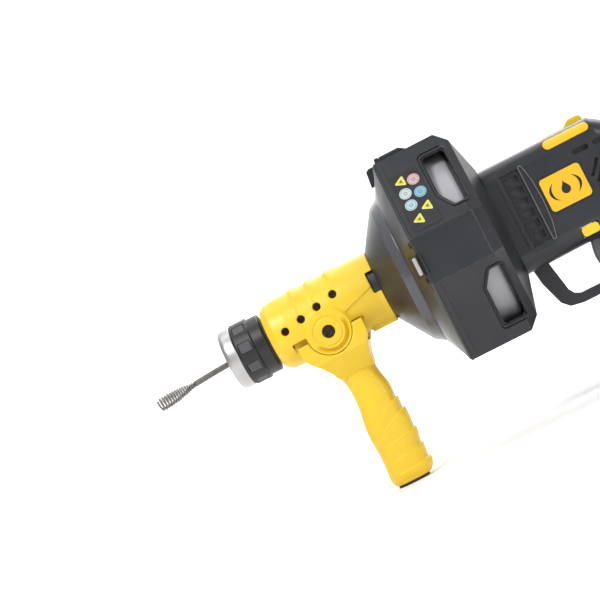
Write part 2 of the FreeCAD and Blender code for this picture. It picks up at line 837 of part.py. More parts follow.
def handle_grip():
    """Fork with ears behind the bosses, a saddle around them, and the grip below."""
    pivot = (d.pivot_place, d.pivot_level)
    column = plain("handle_column", oval_loft(HANDLE_SECTIONS))
    side_view = padded("saddle_side", "XZ_Plane", HANDLE_SIDE, -45, 45)
    front_view = padded("saddle_front", "YZ_Plane", HANDLE_FRONT, -190, -90)
    saddle = share("saddle_form", side_view, front_view)
    cover = d.boss_half_width - d.boss_plate
    ears = rod("ear_disc", "y", (-cover + 0.3, cover - 0.3), d.ear_radius, pivot)
    boss_rooms = [
        rod(f"boss_room_{side}", "y", y, d.boss_radius + 0.5, pivot)
        for side, y in (("left", (-60, -cover + 0.3)), ("right", (cover - 0.3, 60)))
    ]
    inside = d.bulge_half_width + d.fit_gap
    return take(
        "handle_grip", join("handle_solid", column, saddle, ears), *boss_rooms,
        rod("fork_round", "y", (-inside, inside), d.bulge_radius + d.fit_gap + 0.1, pivot),
        block("fork_way", (d.pivot_place - 45, d.pivot_place + 45), (-inside, inside), (-43, 40)),
        rod("handle_bolt_way", "y", (-60, 60), d.pivot_bolt_radius + d.shaft_gap, pivot),
    )


def handle_foot_pad():
    top = -number(d.axis_height) + number(d.foot_pad_height)
    low = -number(d.axis_height)
    return plain("handle_foot_pad", oval_loft([(low, -149.5, -115.5, 14.5), (top, -149.5, -115.5, 14.5)]))


def handle_bolt():
    pivot = (d.pivot_place, d.pivot_level)
    seat = -d.boss_half_width + d.bolt_recess_depth
    shank = rod("bolt_shank", "y", (seat, d.boss_half_width - 0.5), d.pivot_bolt_radius, pivot)
    head = rod("bolt_head", "y", (seat - 3.4, seat), 5.8, pivot)
    socket = rod("bolt_socket", "y", (seat - 4, seat - 1.4), 2.9, pivot)
    return take("handle_bolt", join("bolt_body", shank, head), socket)


def handle_nut():
    low = number(d.boss_half_width) - number(d.bolt_recess_depth)
    x, level = number(d.pivot_place), number(d.pivot_level) + number(d.axis_height)
    around = [math.radians(60 * i) for i in range(6)]
    corners = [Vector(x + 7.5 * math.cos(a), low, level + 7.5 * math.sin(a)) for a in around]
    hexagon = Part.Face(Part.makePolygon(corners + corners[:1])).extrude(Vector(0, 3.8, 0))
    return take("handle_nut", plain("nut_blank", hexagon), rod(
        "nut_thread", "y", (0, 60), d.pivot_bolt_radius, (d.pivot_place, d.pivot_level)))


# ---- feed head ----


def nose_core():
    front, rear = d.spigot_front, d.barrel_front + d.barrel_front_wall + 4.5
    core = turned("core_turned", [
        (front, d.core_bore),
        (front, d.spigot_radius),
        (d.collar_front, d.spigot_radius),
        (d.collar_front, d.core_radius),
        (rear - 4.2, d.core_radius),
        (rear - 4.2, d.core_flange_radius),
        (rear, d.core_flange_radius),
        (rear, d.core_bore),
    ])
    middle = d.roller_place
    cavity = rod("roller_cavity", "x", (middle - 11, middle + 11), 11, (0, 0))
    cuts = [cavity]
    for i in range(3):
        slot = block(f"roller_slot_{i}", (middle - 11, middle + 11), (-8.4, 8.4), (0, 30))
        slot.Placement = Placement(slot.Placement.Base, Rotation())
        turn_about_axis(slot, 120 * i)
        cuts.append(slot)
    return take("nose_core", core, *cuts)


def turn_about_axis(thing, angle):
    """Turns a piece about the tool's long axis."""
    doc.recompute()
    axis = Vector(0, 0, number(d.axis_height))
    for place in ("Placement.Base.x", "Placement.Base.y", "Placement.Base.z"):
        thing.setExpression(place, None)
    turn = Placement(Vector(), Rotation(Vector(1, 0, 0), angle), axis)
    thing.Placement = turn.multiply(thing.Placement)
    return thing


def feed_collar():
    gap = d.fit_gap
    front, rear = d.collar_front + gap, d.collar_rear
    collar = turned("feed_collar", [
        (front, d.core_radius + gap),
        (front, d.collar_radius - 1.2),
        (front + 1.2, d.collar_radius),
        (d.collar_step - 1.2, d.collar_radius),
        (d.collar_step, d.collar_rear_radius),
        (rear - 1, d.collar_rear_radius),
        (rear, d.collar_rear_radius - 1),
        (rear, d.core_radius + gap),
    ])
    low, high = d.collar_front + 3, d.collar_front + 3 + d.pad_length
    half = d.pad_width / 2
    sketch = sketch_on(collar, "XY_Plane", d.collar_radius + 1)
    outline(sketch, [(low, -half), (high, -half), (high, half), (low, half)])
    pocket = collar.newObject("PartDesign::Pocket", "pad_pocket")
    pocket.Profile = sketch
    bind(pocket, "Length", d.pad_depth + 1)
    repeat_around(collar, pocket, d.pad_count)
    return collar


def repeat_around(body, feature, count):
    doc.recompute()
    pattern = body.newObject("PartDesign::PolarPattern", f"{feature.Name}_around")
    pattern.Originals = [feature]
    x_axis = next(o for o in body.Origin.OriginFeatures if o.Role == "X_Axis")
    pattern.Axis = (x_axis, [""])
    pattern.Angle = 360
    pattern.Occurrences = int(number(count))
    body.Tip = pattern


def collar_grip_pads():
    pads = []
    low, high = d.collar_front + 3.3, d.collar_front + 2.7 + d.pad_length
    half = d.pad_width / 2 - 0.3
    floor = d.collar_radius - d.pad_depth
    for i in range(int(number(d.pad_count))):
        pad = block(f"grip_pad_{i}", (low, high), (-half, half), (floor, floor + 1.5))
        pads.append(turn_about_axis(pad, 360 / number(d.pad_count) * i))
    return group("collar_grip_pads", *pads)


def nose_ring():
    front, rear = d.ring_front, d.collar_front
    return turned("nose_ring", [
        (front, 13),
        (front, d.ring_radius - 4.3),
        (front + 0.6, d.ring_radius - 3),
        (front + 2.2, d.ring_radius - 1.4),
        (front + 5, d.ring_radius - 0.4),
        (front + 8, d.ring_radius),
        (rear - 1, d.ring_radius),
        (rear, d.ring_radius - 1),
        (rear, d.spigot_radius + 0.05),
        (d.spigot_front - 0.2, d.spigot_radius + 0.05),
        (d.spigot_front - 0.2, d.ring_bore),
        (front + 2.6, d.ring_bore),
    ])


def at_roller(thing, index):
    """Puts a piece made about the origin, its axle along X, onto the roller station of that index."""
    lift = number(d.cable_radius) + number(d.fit_gap) + number(d.roller_radius)
    station = Placement(Vector(number(d.roller_place), 0, number(d.axis_height)), Rotation())
    around = Placement(Vector(), Rotation(Vector(1, 0, 0), 120 * index))
    tilt = Placement(Vector(0, 0, lift), Rotation(Vector(0, 0, 1), number(d.roller_tilt)))
    thing.Placement = station.multiply(around).multiply(tilt)
    return thing


def feed_roller(index):
    half, axle = d.roller_length / 2, d.roller_axle_length / 2
    spool = new_body(f"feed_roller_{index}")
    spool.setExpression("Placement.Base.z", None)
    sketch = sketch_on(spool, "XZ_Plane")
    outline(sketch, [
        (-axle, 0),
        (-axle, d.roller_axle_radius),
        (-half, d.roller_axle_radius),
        (-half, d.roller_radius),
        (half, d.roller_radius),
        (half, d.roller_axle_radius),
        (axle, d.roller_axle_radius),
        (axle, 0),
    ])
    turn = spool.newObject("PartDesign::Revolution", f"roller_turn_{index}")
    turn.Profile = sketch
    turn.ReferenceAxis = (sketch, ["H_Axis"])
    turn.Angle = 360
    return at_roller(spool, index)


def roller_block(index):
    """Forked block that carries one roller's axle."""
    length, width = number(d.block_length) / 2, number(d.block_width) / 2
    half = number(d.roller_length) / 2 + 0.3
    top = number(d.block_top)
    fork = Part.makeBox(2 * length, 2 * width, top + 3, Vector(-length, -width, -3))
    way = Part.makeBox(2 * half, 2 * width + 2, 8.6, Vector(-half, -width - 1, -3))
    hole_radius = number(d.roller_axle_radius) + number(d.shaft_gap)
    hole = Part.makeCylinder(hole_radius, 4 * length, Vector(-2 * length, 0, 0), Vector(1, 0, 0))
    return at_roller(plain(f"roller_block_{index}", fork.cut(way).cut(hole)), index)


def guide_tube():
    front, rear = d.barrel_front + d.barrel_front_wall + 4.7, d.neck_front - 1
    tube = rod("guide_round", "x", (front, rear), d.guide_radius, (0, 0))
    flange = rod("guide_flange", "x", (rear - 4, rear), 28, (0, 0))
    rail = block("guide_rail", (-184, -114), (-12.8, -4.5), (-4, 17))
    bore = rod("guide_way", "x", (front - 1, rear + 1), d.guide_bore, (0, 0))
    threads = [
        rod(f"guide_thread_{i}", "y", (-13, -9.5), 1.6, (x, level)) for i, x, level in nose_screw_spots()
    ]
    return take("guide_tube", join("guide_body", tube, flange, rail), bore, *threads)


# ---- cable ----


def cable_coil():
    return turned("cable_coil", [
        (d.coil_front, d.coil_inner),
        (d.coil_front, d.coil_outer),
        (d.coil_rear, d.coil_outer),
        (d.coil_rear, d.coil_inner),
    ])


CABLE_LEAD = ((-2.4, 84.0), (-11.0, 74.0), (-23.0, 57.0), (-34.0, 36.0), (-45.0, 14.0), (-57.0, 0.0), (-72.0, 0.0))
CABLE_RUN = ((-72.0, 0.0), (-228.0, 0.0), (-244.5, -1.3))
CABLE_END = ((-244.5, -1.3), (-258.5, -2.1), (-272.5, -3.05), (-286.5, -4.15))


def auger_tip():
    bulb = new_body("auger_tip")
    sketch = sketch_on(bulb, "XZ_Plane")
    length, radius = d.auger_length, d.auger_radius
    outline(sketch, [
        (0, 0),
        (0, d.cable_radius),
        (-length * 0.2, d.cable_radius + 0.2),
        (-length * 0.5, radius * 0.75),
        (-length * 0.72, radius * 0.97),
        (-length * 0.86, radius),
        (-length * 0.96, radius * 0.86),
        (-length, radius * 0.6),
        (-length, 0),
    ])
    turn = bulb.newObject("PartDesign::Revolution", "auger_turn")
    turn.Profile = sketch
    turn.ReferenceAxis = (sketch, ["H_Axis"])
    turn.Angle = 360
    bulb.setExpression("Placement.Base.z", None)
    x, level = CABLE_END[-1]
    droop = Rotation(Vector(0, 1, 0), -number(d.auger_pitch_down))
    bulb.Placement = Placement(Vector(x, 0, number(d.axis_height) + level), droop)
    return bulb


# ---- drum housing ----


def drum_shell():
    """Whole hollow drum housing before it is split at the seam."""
    outer = drum_housing_solid(0.0, number(d.housing_rounding))
    inner = drum_housing_solid(number(d.wall))
    return plain("drum_shell", outer.cut(inner))


def front_of(label, whole, place):
    return share(label, whole, block(f"{label}_space", (-300, place), (-200, 200), (-200, 200)))


def behind(label, whole, place):
    return share(label, whole, block(f"{label}_space", (place, 300), (-200, 200), (-200, 200)))


def drum_screw_spots():
    return [(s * 52, level) for level in (-98.5, 98.5) for s in (-1, 1)] + [
        (s * 103.5, level) for level in (-18.2, 18.2) for s in (-1, 1)]


def drum_housing_front(shell):
    seat = d.front_bearing_radius + 0.03
    neck = turned("cone_neck", [
        (d.neck_front, 12),
        (d.neck_front, d.neck_radius),
        (d.barrel_rear + 0.1, d.neck_radius),
        (d.barrel_rear + 0.1, d.cone_front_radius - 1),
        (d.barrel_rear + 2, d.cone_front_radius + 1),
        (d.barrel_rear + 4, d.cone_front_radius + 2),
        (d.barrel_rear + 4, seat),
        (d.neck_front + 2.5, seat),
        (d.neck_front + 2.5, 12),
    ])
    within = plain("front_limit", drum_housing_solid(number(d.wall) / 2))
    bosses = share("front_screw_bosses", within, join("front_boss_rods", *[
        rod(f"front_boss_{i}", "x", (-30, d.shell_seam), 4.8, spot) for i, spot in enumerate(drum_screw_spots())
    ]))
    solid = join(
        "front_solid", front_of("cone_shell", shell, d.shell_seam), neck, bosses, top_pad_front(), pad_clip())
    holes = []
    for i, spot in enumerate(drum_screw_spots()):
        holes.append(rod(f"front_screw_recess_{i}", "x", (-60, d.drum_screw_seat), 3.2, spot))
        holes.append(rod(f"front_screw_way_{i}", "x", (-60, 0), 1.5, spot))
    return take("drum_housing_front", solid, *holes)


def pad_clip():
    """Small catch that stands on the front slope of the top pad."""
    low, high = d.hex_height - 16, d.hex_height + 2.5
    return padded("pad_clip", "XZ_Plane", [
        (-38.5, low), (-36.5, high - 2), (-33, high), (-28, high), (-28, low),
    ], -7, 7)


FACET_TURNS = {"left_upper": (60, 1), "right_upper": (-60, -1), "left_lower": (120, -1), "right_lower": (-120, 1)}


def on_facet(thing, turn):
    """Lays a piece made in the XY plane, its outer side up, on one slanting facet."""
    doc.recompute()
    for place in ("Placement.Base.x", "Placement.Base.y", "Placement.Base.z"):
        thing.setExpression(place, None)
    axis = Placement(Vector(0, 0, number(d.axis_height)), Rotation(Vector(1, 0, 0), turn))
    base = Placement(Vector(thing.Placement.Base.x, thing.Placement.Base.y, 0), Rotation())
    thing.Placement = axis.multiply(base)
    return thing


def window_outline(margin, sign):
    """Window on a facet: its front corner nearest the side is cut off."""
    front, rear = d.window_front - margin, d.window_rear + margin
    low, high = (d.window_low - margin) * sign, (d.window_high + margin) * sign
    return [(front, high), (rear, high), (rear, low), (front + 10, low), (front, low + 17 * sign)]


def drum_housing_rear(shell):
    back = behind("rear_shell", shell, d.shell_seam)
    seat = turned("rear_bearing_seat", [
        (d.drum_back - 7.5, d.rear_bearing_radius + 0.03),
        (d.drum_back - 7.5, d.rear_bearing_radius + 3.5),
        (d.drum_back - 1, d.rear_bearing_radius + 3.5),
        (d.drum_back - 1, d.rear_bearing_radius + 0.03),
    ])
    top, half = d.top_pad_height, d.top_pad_half_width
    pad = padded("top_pad", "XZ_Plane", [
        (d.shell_seam, d.hex_height - 2),
        (d.shell_seam, top),
        (d.top_pad_rear, top),
        (d.top_pad_slope, d.hex_height - 2),
    ], -half, half)
    bosses = [
        rod(f"rear_boss_{i}", "x", (d.shell_seam, -9), 4.3, spot) for i, spot in enumerate(drum_screw_spots())
    ]
    solid = join("rear_solid", back, seat, soften(pad, 2.5, is_long_top), *bosses)
    cuts = [
        rod(f"rear_screw_way_{i}", "x", (d.shell_seam, -11), 1.33, spot) for i, spot in enumerate(drum_screw_spots())
    ]
    cuts.append(rod("rear_bearing_way", "x", (40, 80), d.rear_bearing_radius + 0.03, (0, 0)))
    for name, (turn, sign) in FACET_TURNS.items():
        through = padded(f"window_{name}", "XY_Plane", window_outline(0, sign), 92, 120)
        recess = padded(f"window_recess_{name}", "XY_Plane", window_outline(d.window_margin, sign),
                        d.hex_height - d.window_recess / 2, 120)
        cuts += [on_facet(soften(through, 4, is_along(Vector(0, 0, 1))), turn)]
        cuts += [on_facet(soften(recess, 6, is_along(Vector(0, 0, 1))), turn)]
    return take("drum_housing_rear", solid, *cuts)


def is_long_top(edge):
    """Picks the upper edges of the raised pad."""
    return edge.BoundBox.ZMin > number(d.hex_height) + 4


def top_pad_front():
    """The pad's nose, on the front shell."""
    half = d.top_pad_half_width
    return padded("top_pad_nose", "XZ_Plane", [
        (d.hex_front + 1, d.hex_height - 2),
        (d.top_pad_front, d.top_pad_height),
        (d.shell_seam, d.top_pad_height),
        (d.shell_seam, d.hex_height - 2),
    ], -half, half)


def drum_housing_screws():
    seat = d.drum_screw_seat
    return group("drum_housing_screws", *[
        screw(f"drum_screw_{i}", "x", seat - 2.2, -12, spot, 2.6, 1.3, 2.2)
        for i, spot in enumerate(drum_screw_spots())
    ])


def icon_label():
    plate = padded("icon_label", "XY_Plane", [
        (d.label_front, d.label_low),
        (d.label_rear, d.label_low),
        (d.label_rear, d.label_high),
        (d.label_front, d.label_high),
    ], d.hex_height, d.hex_height + d.label_thickness)
    return on_facet(soften(plate, 3, is_along(Vector(0, 0, 1))), 60)


def latch(side):
    """Small steel latch across the seam, standing on the bevel beside the cone."""
    sign = -1 if side == "left" else 1
    low, high = -14, 9
    y = number(d.hex_width) * sign
    tongue = [(-35.0, y - sign * 14.6), (-26.2, y + sign * 1.6), (-27.9, y + sign * 2.9), (-37.0, y - sign * 14.6)]
    bottom = number(d.axis_height) + low
    corners = [Vector(x, across, bottom) for x, across in tongue]
    plate = Part.Face(Part.makePolygon(corners + corners[:1])).extrude(Vector(0, 0, high - low))
    knuckle = rod(f"latch_knuckle_{side}", "z", (low, high), 1.8, (-25.4, y + sign * 2.4))
    return join(f"latch_{side}", plain(f"latch_plate_{side}", plate), knuckle)


# ---- drum ----


def drum_front():
    wall = d.drum_wall
    bore = d.cable_radius + 0.8
    return turned("drum_front", [
        (-84, bore),
        (-84, d.drum_neck_radius),
        (-64, d.drum_neck_radius),
        (-60, 16),
        (-38, 68),
        (-13, d.drum_radius - 1.5),
        (d.drum_split - 2, d.drum_radius),
        (d.drum_split, d.drum_radius),
        (d.drum_split, d.drum_radius - wall),
        (-12, d.drum_radius - wall - 1.5),
        (-36, 66),
        (-56, 16),
        (-64, bore + 2),
        (-70, bore),
    ])


def drum_rear():
    outer, wall, bore = d.drum_radius, d.drum_wall, d.spindle_radius
    return turned("drum_rear", [
        (d.drum_split, outer - wall),
        (d.drum_split, outer),
        (33, outer),
        (37, outer - 1.5),
        (40, outer - 6),
        (45, 86),
        (45, 14),
        (51, 14),
        (51, bore),
        (34.5, bore),
        (34.5, 14),
        (42, 14),
        (42, 85),
        (36.5, outer - 7),
        (33, outer - wall),
    ])


def bearing(label, low, high, outer, bore):
    return turned(label, [(low, bore), (low, outer), (high, outer), (high, bore)])


def planet_carrier():
    shaft = rod("spindle", "x", (34.5, 71), d.spindle_radius, (0, 0))
    plate = rod("carrier_plate", "x", (66.5, 71), 21, (0, 0))
    pins = []
    for i in range(3):
        pin = rod(f"planet_pin_{i}", "x", (70, d.gear_rear + 0.5), d.planet_pin_radius, (0, planet_circle()))
        pins.append(turn_about_axis(pin, 120 * i))
    return join("planet_carrier", shaft, plate, *pins)


def planet_circle():
    return (d.sun_teeth + d.planet_teeth) * d.gear_module / 2


def planet_gear(index):
    module, low, high = number(d.gear_module), number(d.gear_front), number(d.gear_rear)
    bore = number(d.planet_pin_radius) + number(d.shaft_gap)
    shape = gear_shape(int(number(d.planet_teeth)), module, low, high, bore, phase=math.pi / 18)
    gear = plain(f"planet_gear_{index}", shape)
    gear.Placement = Placement(Vector(0, 0, number(d.axis_height) + number(planet_circle())), Rotation())
    return turn_about_axis(gear, 120 * index)


def ring_gear():
    shape = gear_shape(
        int(number(d.ring_teeth)), number(d.gear_module), number(d.gear_front), number(d.gear_rear),
        0, outer=number(d.gearbox_radius) - 3.5,
    )
    return move_to(plain("ring_gear", shape), 0, 0)


def gearbox_case():
    front, rear, outer = d.drum_back + 0.5, d.gearbox_rear, d.gearbox_radius
    return turned("gearbox_case", [
        (front, 18),
        (front, outer),
        (rear, outer),
        (rear, 8),
        (rear - 3, 8),
        (rear - 3, outer - 3.4),
        (front + 3, outer - 3.4),
        (front + 3, 18),
    ])


def motor_rotor():
    sun = move_to(plain("sun_gear", gear_shape(
        int(number(d.sun_teeth)), number(d.gear_module), number(d.gear_front), number(d.gear_rear), 0)), 0, 0)
    shaft = rod("motor_shaft", "x", (number(d.gear_rear) - 0.5, 172), 3, (0, 0))
    core = rod("motor_core", "x", (113, 150), d.rotor_radius, (0, 0))
    return join("motor_rotor", sun, shaft, core)


def motor_stator():
    outer = d.stator_radius
    bore = d.rotor_radius + 0.6
    return turned("motor_stator", [
        (108, 8), (108, outer), (154, outer), (154, bore), (111, bore), (111, 8),
    ])


def motor_fan():
    hub = rod("fan_hub", "x", (157, 166), 8, (0, 0))
    disc = rod("fan_disc", "x", (157, 158.5), d.fan_radius, (0, 0))
    count = int(number(d.fan_blades))
    blades = [
        turn_about_axis(block(f"fan_blade_{i}", (158, 166), (-0.8, 0.8), (7, d.fan_radius)), 360 / count * i)
        for i in range(count)
    ]
    return take("motor_fan", join("fan_body", hub, disc, *blades), rod("fan_bore", "x", (150, 170), 3, (0, 0)))


# ---- motor housing ----


def guard():
    return padded("guard", "XZ_Plane", [
        (66, -50), (69, -72), (77, -97), (84, -104), (98, -106.5), (156, -106.5), (156, -97), (99, -96.5),
        (93, -93.5), (89.5, -88), (82.5, -50),
    ], -d.guard_half_width, d.guard_half_width)


def motor_housing():
    """Clamshell of the motor, grip, guard and battery foot."""
    foot = ((d.foot_front, d.foot_rear), (-d.foot_half_width, d.foot_half_width), (d.foot_bottom, d.foot_top))
    foot_outer = rounded_block("foot_outer", *foot, 12, "z")
    foot_outer = soften(foot_outer, 6, is_foot_rim)
    wall = number(d.wall)
    hollow = (
        (foot[0][0] + 3, foot[0][1] - 3), (foot[1][0] + 3, foot[1][1] - 3),
        (d.foot_bottom + d.rail_height + 3, d.foot_top - 3),
    )
    foot_inner = rounded_block("foot_hollow", *hollow, 9, "z")
    form = join("body_solid", plain("body_form", body_loft(0)), plain("grip_form", oval_loft(GRIP_SECTIONS)),
                guard(), foot_outer, vent_rims())
    rail = (-d.rail_half_width - 0.4, d.rail_half_width + 0.4)
    hollows = [plain("body_hollow", body_loft(wall)), plain("grip_hollow", oval_loft(GRIP_SECTIONS, wall)), foot_inner]
    bosses = [
        rod(f"housing_boss_{i}", "y", (-depth, depth + 3.5), 4.8, (x, level))
        for i, (x, level, depth) in enumerate(housing_screw_spots())
    ]
    solid = join("body_with_bosses", take("body_hollowed", form, *hollows), *bosses)
    cuts = [
        block("rail_channel", (d.foot_front - 5, d.foot_rear - 3), rail, (d.foot_bottom - 1, d.foot_bottom + 6.4)),
        block("trigger_way", (124, 152), (-8.5, 8.5), (-93, -46)),
        block("button_way", (d.button_front - 0.4, d.button_rear + 0.4), (-60, 60),
              (d.button_low - 0.4, d.button_high + 0.4)),
        block("slider_way", (d.slider_front - 9, d.slider_rear + 0.4),
              (-d.slider_half_width - 0.4, d.slider_half_width + 0.4), (53.9, 60)),
        block("slider_stem_way", (138, 160), (-4, 4), (45, 60)),
    ]
    for i, (x, level, depth) in enumerate(housing_screw_spots()):
        cuts.append(rod(f"housing_screw_recess_{i}", "y", (depth - 2.6, 60), 3.5, (x, level)))
        cuts.append(rod(f"housing_screw_way_{i}", "y", (-15, 40), 1.53, (x, level)))
    for side, y in (("left", (-60, -38)), ("right", (38, 60))):
        cuts.append(block(f"vent_way_{side}", (d.vent_front, d.vent_rear), y, (d.vent_low, d.vent_high)))
        for i, x in enumerate(((150.5, 167.5), (172.5, 187.5))):
            cuts.append(slot_across(f"small_vent_{side}_{i}", x, 29, 2.6, y))
        for i in range(4):
            cuts.append(diagonal_slot(f"round_vent_{side}_{i}", y, 6.6 * (i - 1.5)))
    for side, y in (("left", (-60, -43.1)), ("right", (43.1, 60))):
        frame = ((d.plate_front - 3, d.plate_rear + 3), y, (d.plate_low - 3, d.plate_high + 3))
        cuts.append(rounded_block(f"plate_recess_{side}", *frame, 6, "y"))
    return left_and_right("motor_housing", take("body_shell", solid, *cuts))


def vent_rims():
    """Raised frames around the vents, their rear sides bowed outwards."""
    low, high = d.vent_low - 6, d.vent_high + 5
    rims = []
    for side, y in (("left", (-45.6, -42)), ("right", (42, 45.6))):
        rim = padded(f"vent_rim_{side}", "XZ_Plane", [
            (d.vent_front - 4, low + 4), (d.vent_front, low), (d.vent_rear + 3, low), (d.vent_rear + 7.5, low + 18),
            (d.vent_rear + 9.5, 2), (d.vent_rear + 7.5, high - 18), (d.vent_rear + 3, high), (d.vent_front, high),
            (d.vent_front - 4, high - 4),
        ], *y)
        rims.append(soften(rim, 3, is_along(Vector(0, 1, 0))))
    return join("vent_rims", *rims)


def is_foot_rim(edge):
    """Picks the upper rim of the battery foot."""
    return edge.BoundBox.ZMin > number(d.foot_top) - 0.1


def diagonal_slot(label, y, shift):
    """Slanting vent slot; the slots together fill a round field."""
    half = math.sqrt(13.5**2 - shift**2)
    slot = Part.makeBox(2 * half, number(y[1]) - number(y[0]), 3.4, Vector(-half, 0, shift - 1.7))
    slat = plain(label, slot)
    centre = Vector(number(d.round_vent_place), number(y[0]), number(d.axis_height) + 1)
    slat.Placement = Placement(centre, Rotation(Vector(0, 1, 0), -50))
    return slat


def side_trims():
    """Yellow bar let into the upper corner on each side."""
    radius = d.bar_half_height
    shape = slot_across("bar_outline", (d.bar_front, d.bar_rear), d.bar_level, radius, (-60, -25))
    skin = plain("bar_skin", body_loft(-1.0).cut(body_loft(0.0)))
    return both_sides("side_trims", share("bar_left", shape, skin))


def name_plates():
    plate = rounded_block(
        "plate_left", (d.plate_front, d.plate_rear), (-d.body_half_width - d.plate_stand, -43.1),
        (d.plate_low, d.plate_high), d.plate_corner, "y",
    )
    return both_sides("name_plates", plate)


def vent_grilles():
    x, level = (d.vent_front + 0.2, d.vent_rear - 0.2), (d.vent_low + 0.2, d.vent_high - 0.2)
    frame = block("grille_frame", x, (-43.2, -39), level)
    cells = [
        block(f"grille_cell_{i}", (d.vent_front + 3, d.vent_rear - 3), (-60, -30),
              (d.vent_low + 4 + 11.8 * i, d.vent_low + 12.6 + 11.8 * i))
        for i in range(6)
    ]
    return both_sides("vent_grilles", take("grille_left", frame, *cells))


def housing_screw_spots():
    """Place, level and the depth of the head on the right side."""
    return ((112, 47, 33), (196, 34, 34), (106, -47, 33), (196, -40, 34), (122, -139.5, 32), (228, -139.5, 32))


def housing_screws():
    return group("housing_screws", *[
        screw(f"housing_screw_{i}", "y", depth, -14, (x, level), 3.2, 1.5, 2.6)
        for i, (x, level, depth) in enumerate(housing_screw_spots())
    ])


# ---- controls ----


def trigger():
    front, half = d.trigger_front, d.trigger_half_width
    lever = padded("trigger", "XZ_Plane", [
        (front + 1, -56), (146, -56), (146, -88), (front + 8, -90.5), (front + 2.5, -86), (front - 1, -79),
        (front - 1.6, -71), (front - 0.6, -63),
    ], -half, half)
    return soften(lever, 2.5, is_trigger_front)


def is_trigger_front(edge):
    """Picks the long front edges of the trigger, down both sides."""
    box = edge.BoundBox
    return box.XMax < number(d.trigger_front) + 8.5 and box.YLength < 0.1


def trigger_spring():
    tube = rod("spring_tube", "x", (146.2, 152.8), 3.5, (0, -66))
    return take("trigger_spring", tube, rod("spring_hollow", "x", (146, 153), 2.5, (0, -66)))


def direction_button():
    half = d.button_half_length
    body = rounded_block("direction_button", (d.button_front, d.button_rear), (-half, half),
                         (d.button_low, d.button_high), 3.5, "y")
    return body


def speed_slider():
    half = d.slider_half_width
    hump = d.slider_hump_front
    return padded("speed_slider", "XZ_Plane", [
        (d.slider_front, 54.2), (d.slider_front, 55.8), (d.slider_front + 1, 56.6), (hump - 3, 56.6),
        (hump, 58.5), (hump + 2.5, 61.2), (hump + 5.5, d.slider_top), (d.slider_rear - 4, d.slider_top),
        (d.slider_rear - 1, 60.4), (d.slider_rear, 57.5), (d.slider_rear, 54.2),
    ], -half, half)


# ---- battery ----


def battery_pieces():
    rear, wide = d.battery_rear, d.battery_half_width
    x, y = (d.battery_front, rear), (-wide, wide)
    low, top, split = -d.axis_height, d.battery_top, d.battery_split
    tub = soften(rounded_block("battery_tub", x, y, (low, split), 9, "z"), 3, is_battery_base)
    hollow_x, hollow_y = (d.battery_front + 2.5, rear - 2.5), (-wide + 2.5, wide - 2.5)
    button_way = block("battery_button_way", (d.battery_front - 5, d.battery_front + 10), (-13.3, 13.3),
                       (-178.3, -167.7))
    case = take("battery_case", tub, rounded_block("tub_hollow", hollow_x, hollow_y, (low + 2.5, split + 1), 7, "z"),
                button_way)
    lid = rounded_block("lid_plate", x, y, (split, top), 9, "z")
    rail = block("lid_rail", (d.battery_front + 2, rear - 1), (-d.rail_half_width, d.rail_half_width),
                 (top - 1, top + d.rail_height))
    inside = rounded_block("lid_hollow", hollow_x, hollow_y, (split - 1, top - 2.5), 7, "z")
    return [case, take("battery_lid", join("lid_solid", lid, rail), inside)]


def is_battery_base(edge):
    """Picks the lower rim of the battery."""
    return edge.BoundBox.ZMax < -number(d.axis_height) + 0.1


def battery_cells():
    half = d.cell_half_length
    first = d.battery_front + 16.4
    cells = []
    for i in range(5):
        cells.append(rod(f"cell_{i}", "y", (-half, half), d.cell_radius, (first + d.cell_pitch * i, -170)))
    return group("battery_cells", *cells)


def battery_button():
    return rounded_block("battery_button", (d.battery_front - 1.5, d.battery_front + 2.2), (-13, 13),
                         (-178, -168), 3, "x")


def check(pieces):
    """Stops where a feature failed or a piece has no sound shape."""
    doc.recompute()
    for thing in doc.Objects:
        if "Invalid" in thing.State or "Error" in thing.State:
            raise RuntimeError(f"{thing.Label}: {thing.State}")
    for piece in pieces:
        if piece.Shape.isNull() or not piece.Shape.isValid() or not piece.Shape.Solids:
            raise RuntimeError(f"{piece.Label} has no sound solid")


def build():
    fill_sheet()
    shell = drum_shell()
    pieces = nose_housing() + motor_housing() + battery_pieces()
    pieces += [nose_screws(), handle_grip(), handle_foot_pad(), handle_bolt(), handle_nut(), nose_core()]
    pieces += [feed_collar(), collar_grip_pads(), nose_ring(), guide_tube(), drum_housing_front(shell)]
    pieces += [drum_housing_rear(shell), drum_housing_screws(), icon_label(), latch("left"), latch("right")]
    pieces += [drum_front(), drum_rear(), cable_coil(), planet_carrier(), ring_gear(), gearbox_case()]
    pieces += [bearing("bearing_front", -84, -72.5, d.front_bearing_radius, d.drum_neck_radius + d.shaft_gap)]
    pieces += [bearing("bearing_rear", 52, 60.5, d.rear_bearing_radius, d.spindle_radius + d.shaft_gap)]
    pieces += [plain("cable_lead", bent_tube(CABLE_LEAD, number(d.cable_radius)))]
    pieces += [plain("cable_run", bent_tube(CABLE_RUN, number(d.cable_radius)))]
    pieces += [plain("cable_end", bent_tube(CABLE_END, number(d.cable_radius))), auger_tip()]
    pieces += [motor_rotor(), motor_stator(), motor_fan(), side_trims(), name_plates(), vent_grilles()]
    pieces += [housing_screws(), trigger(), trigger_spring(), direction_button(), speed_slider()]
    pieces += [block("trigger_switch", (153, 178), (-8, 8), (-86, -56))]
    pieces += [block("control_board", (130, 216), (-28, 28), (-138.5, -137))]
    pieces += [battery_cells(), battery_button()]
    for index in range(3):
        pieces += [feed_roller(index), roller_block(index), planet_gear(index)]
    check(pieces)
    os.makedirs("parts", exist_ok=True)
    for piece in pieces:
        piece.Shape.exportStep(f"parts/{piece.Label}.step")
    print(len(pieces), "pieces written")


build()
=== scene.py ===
import math

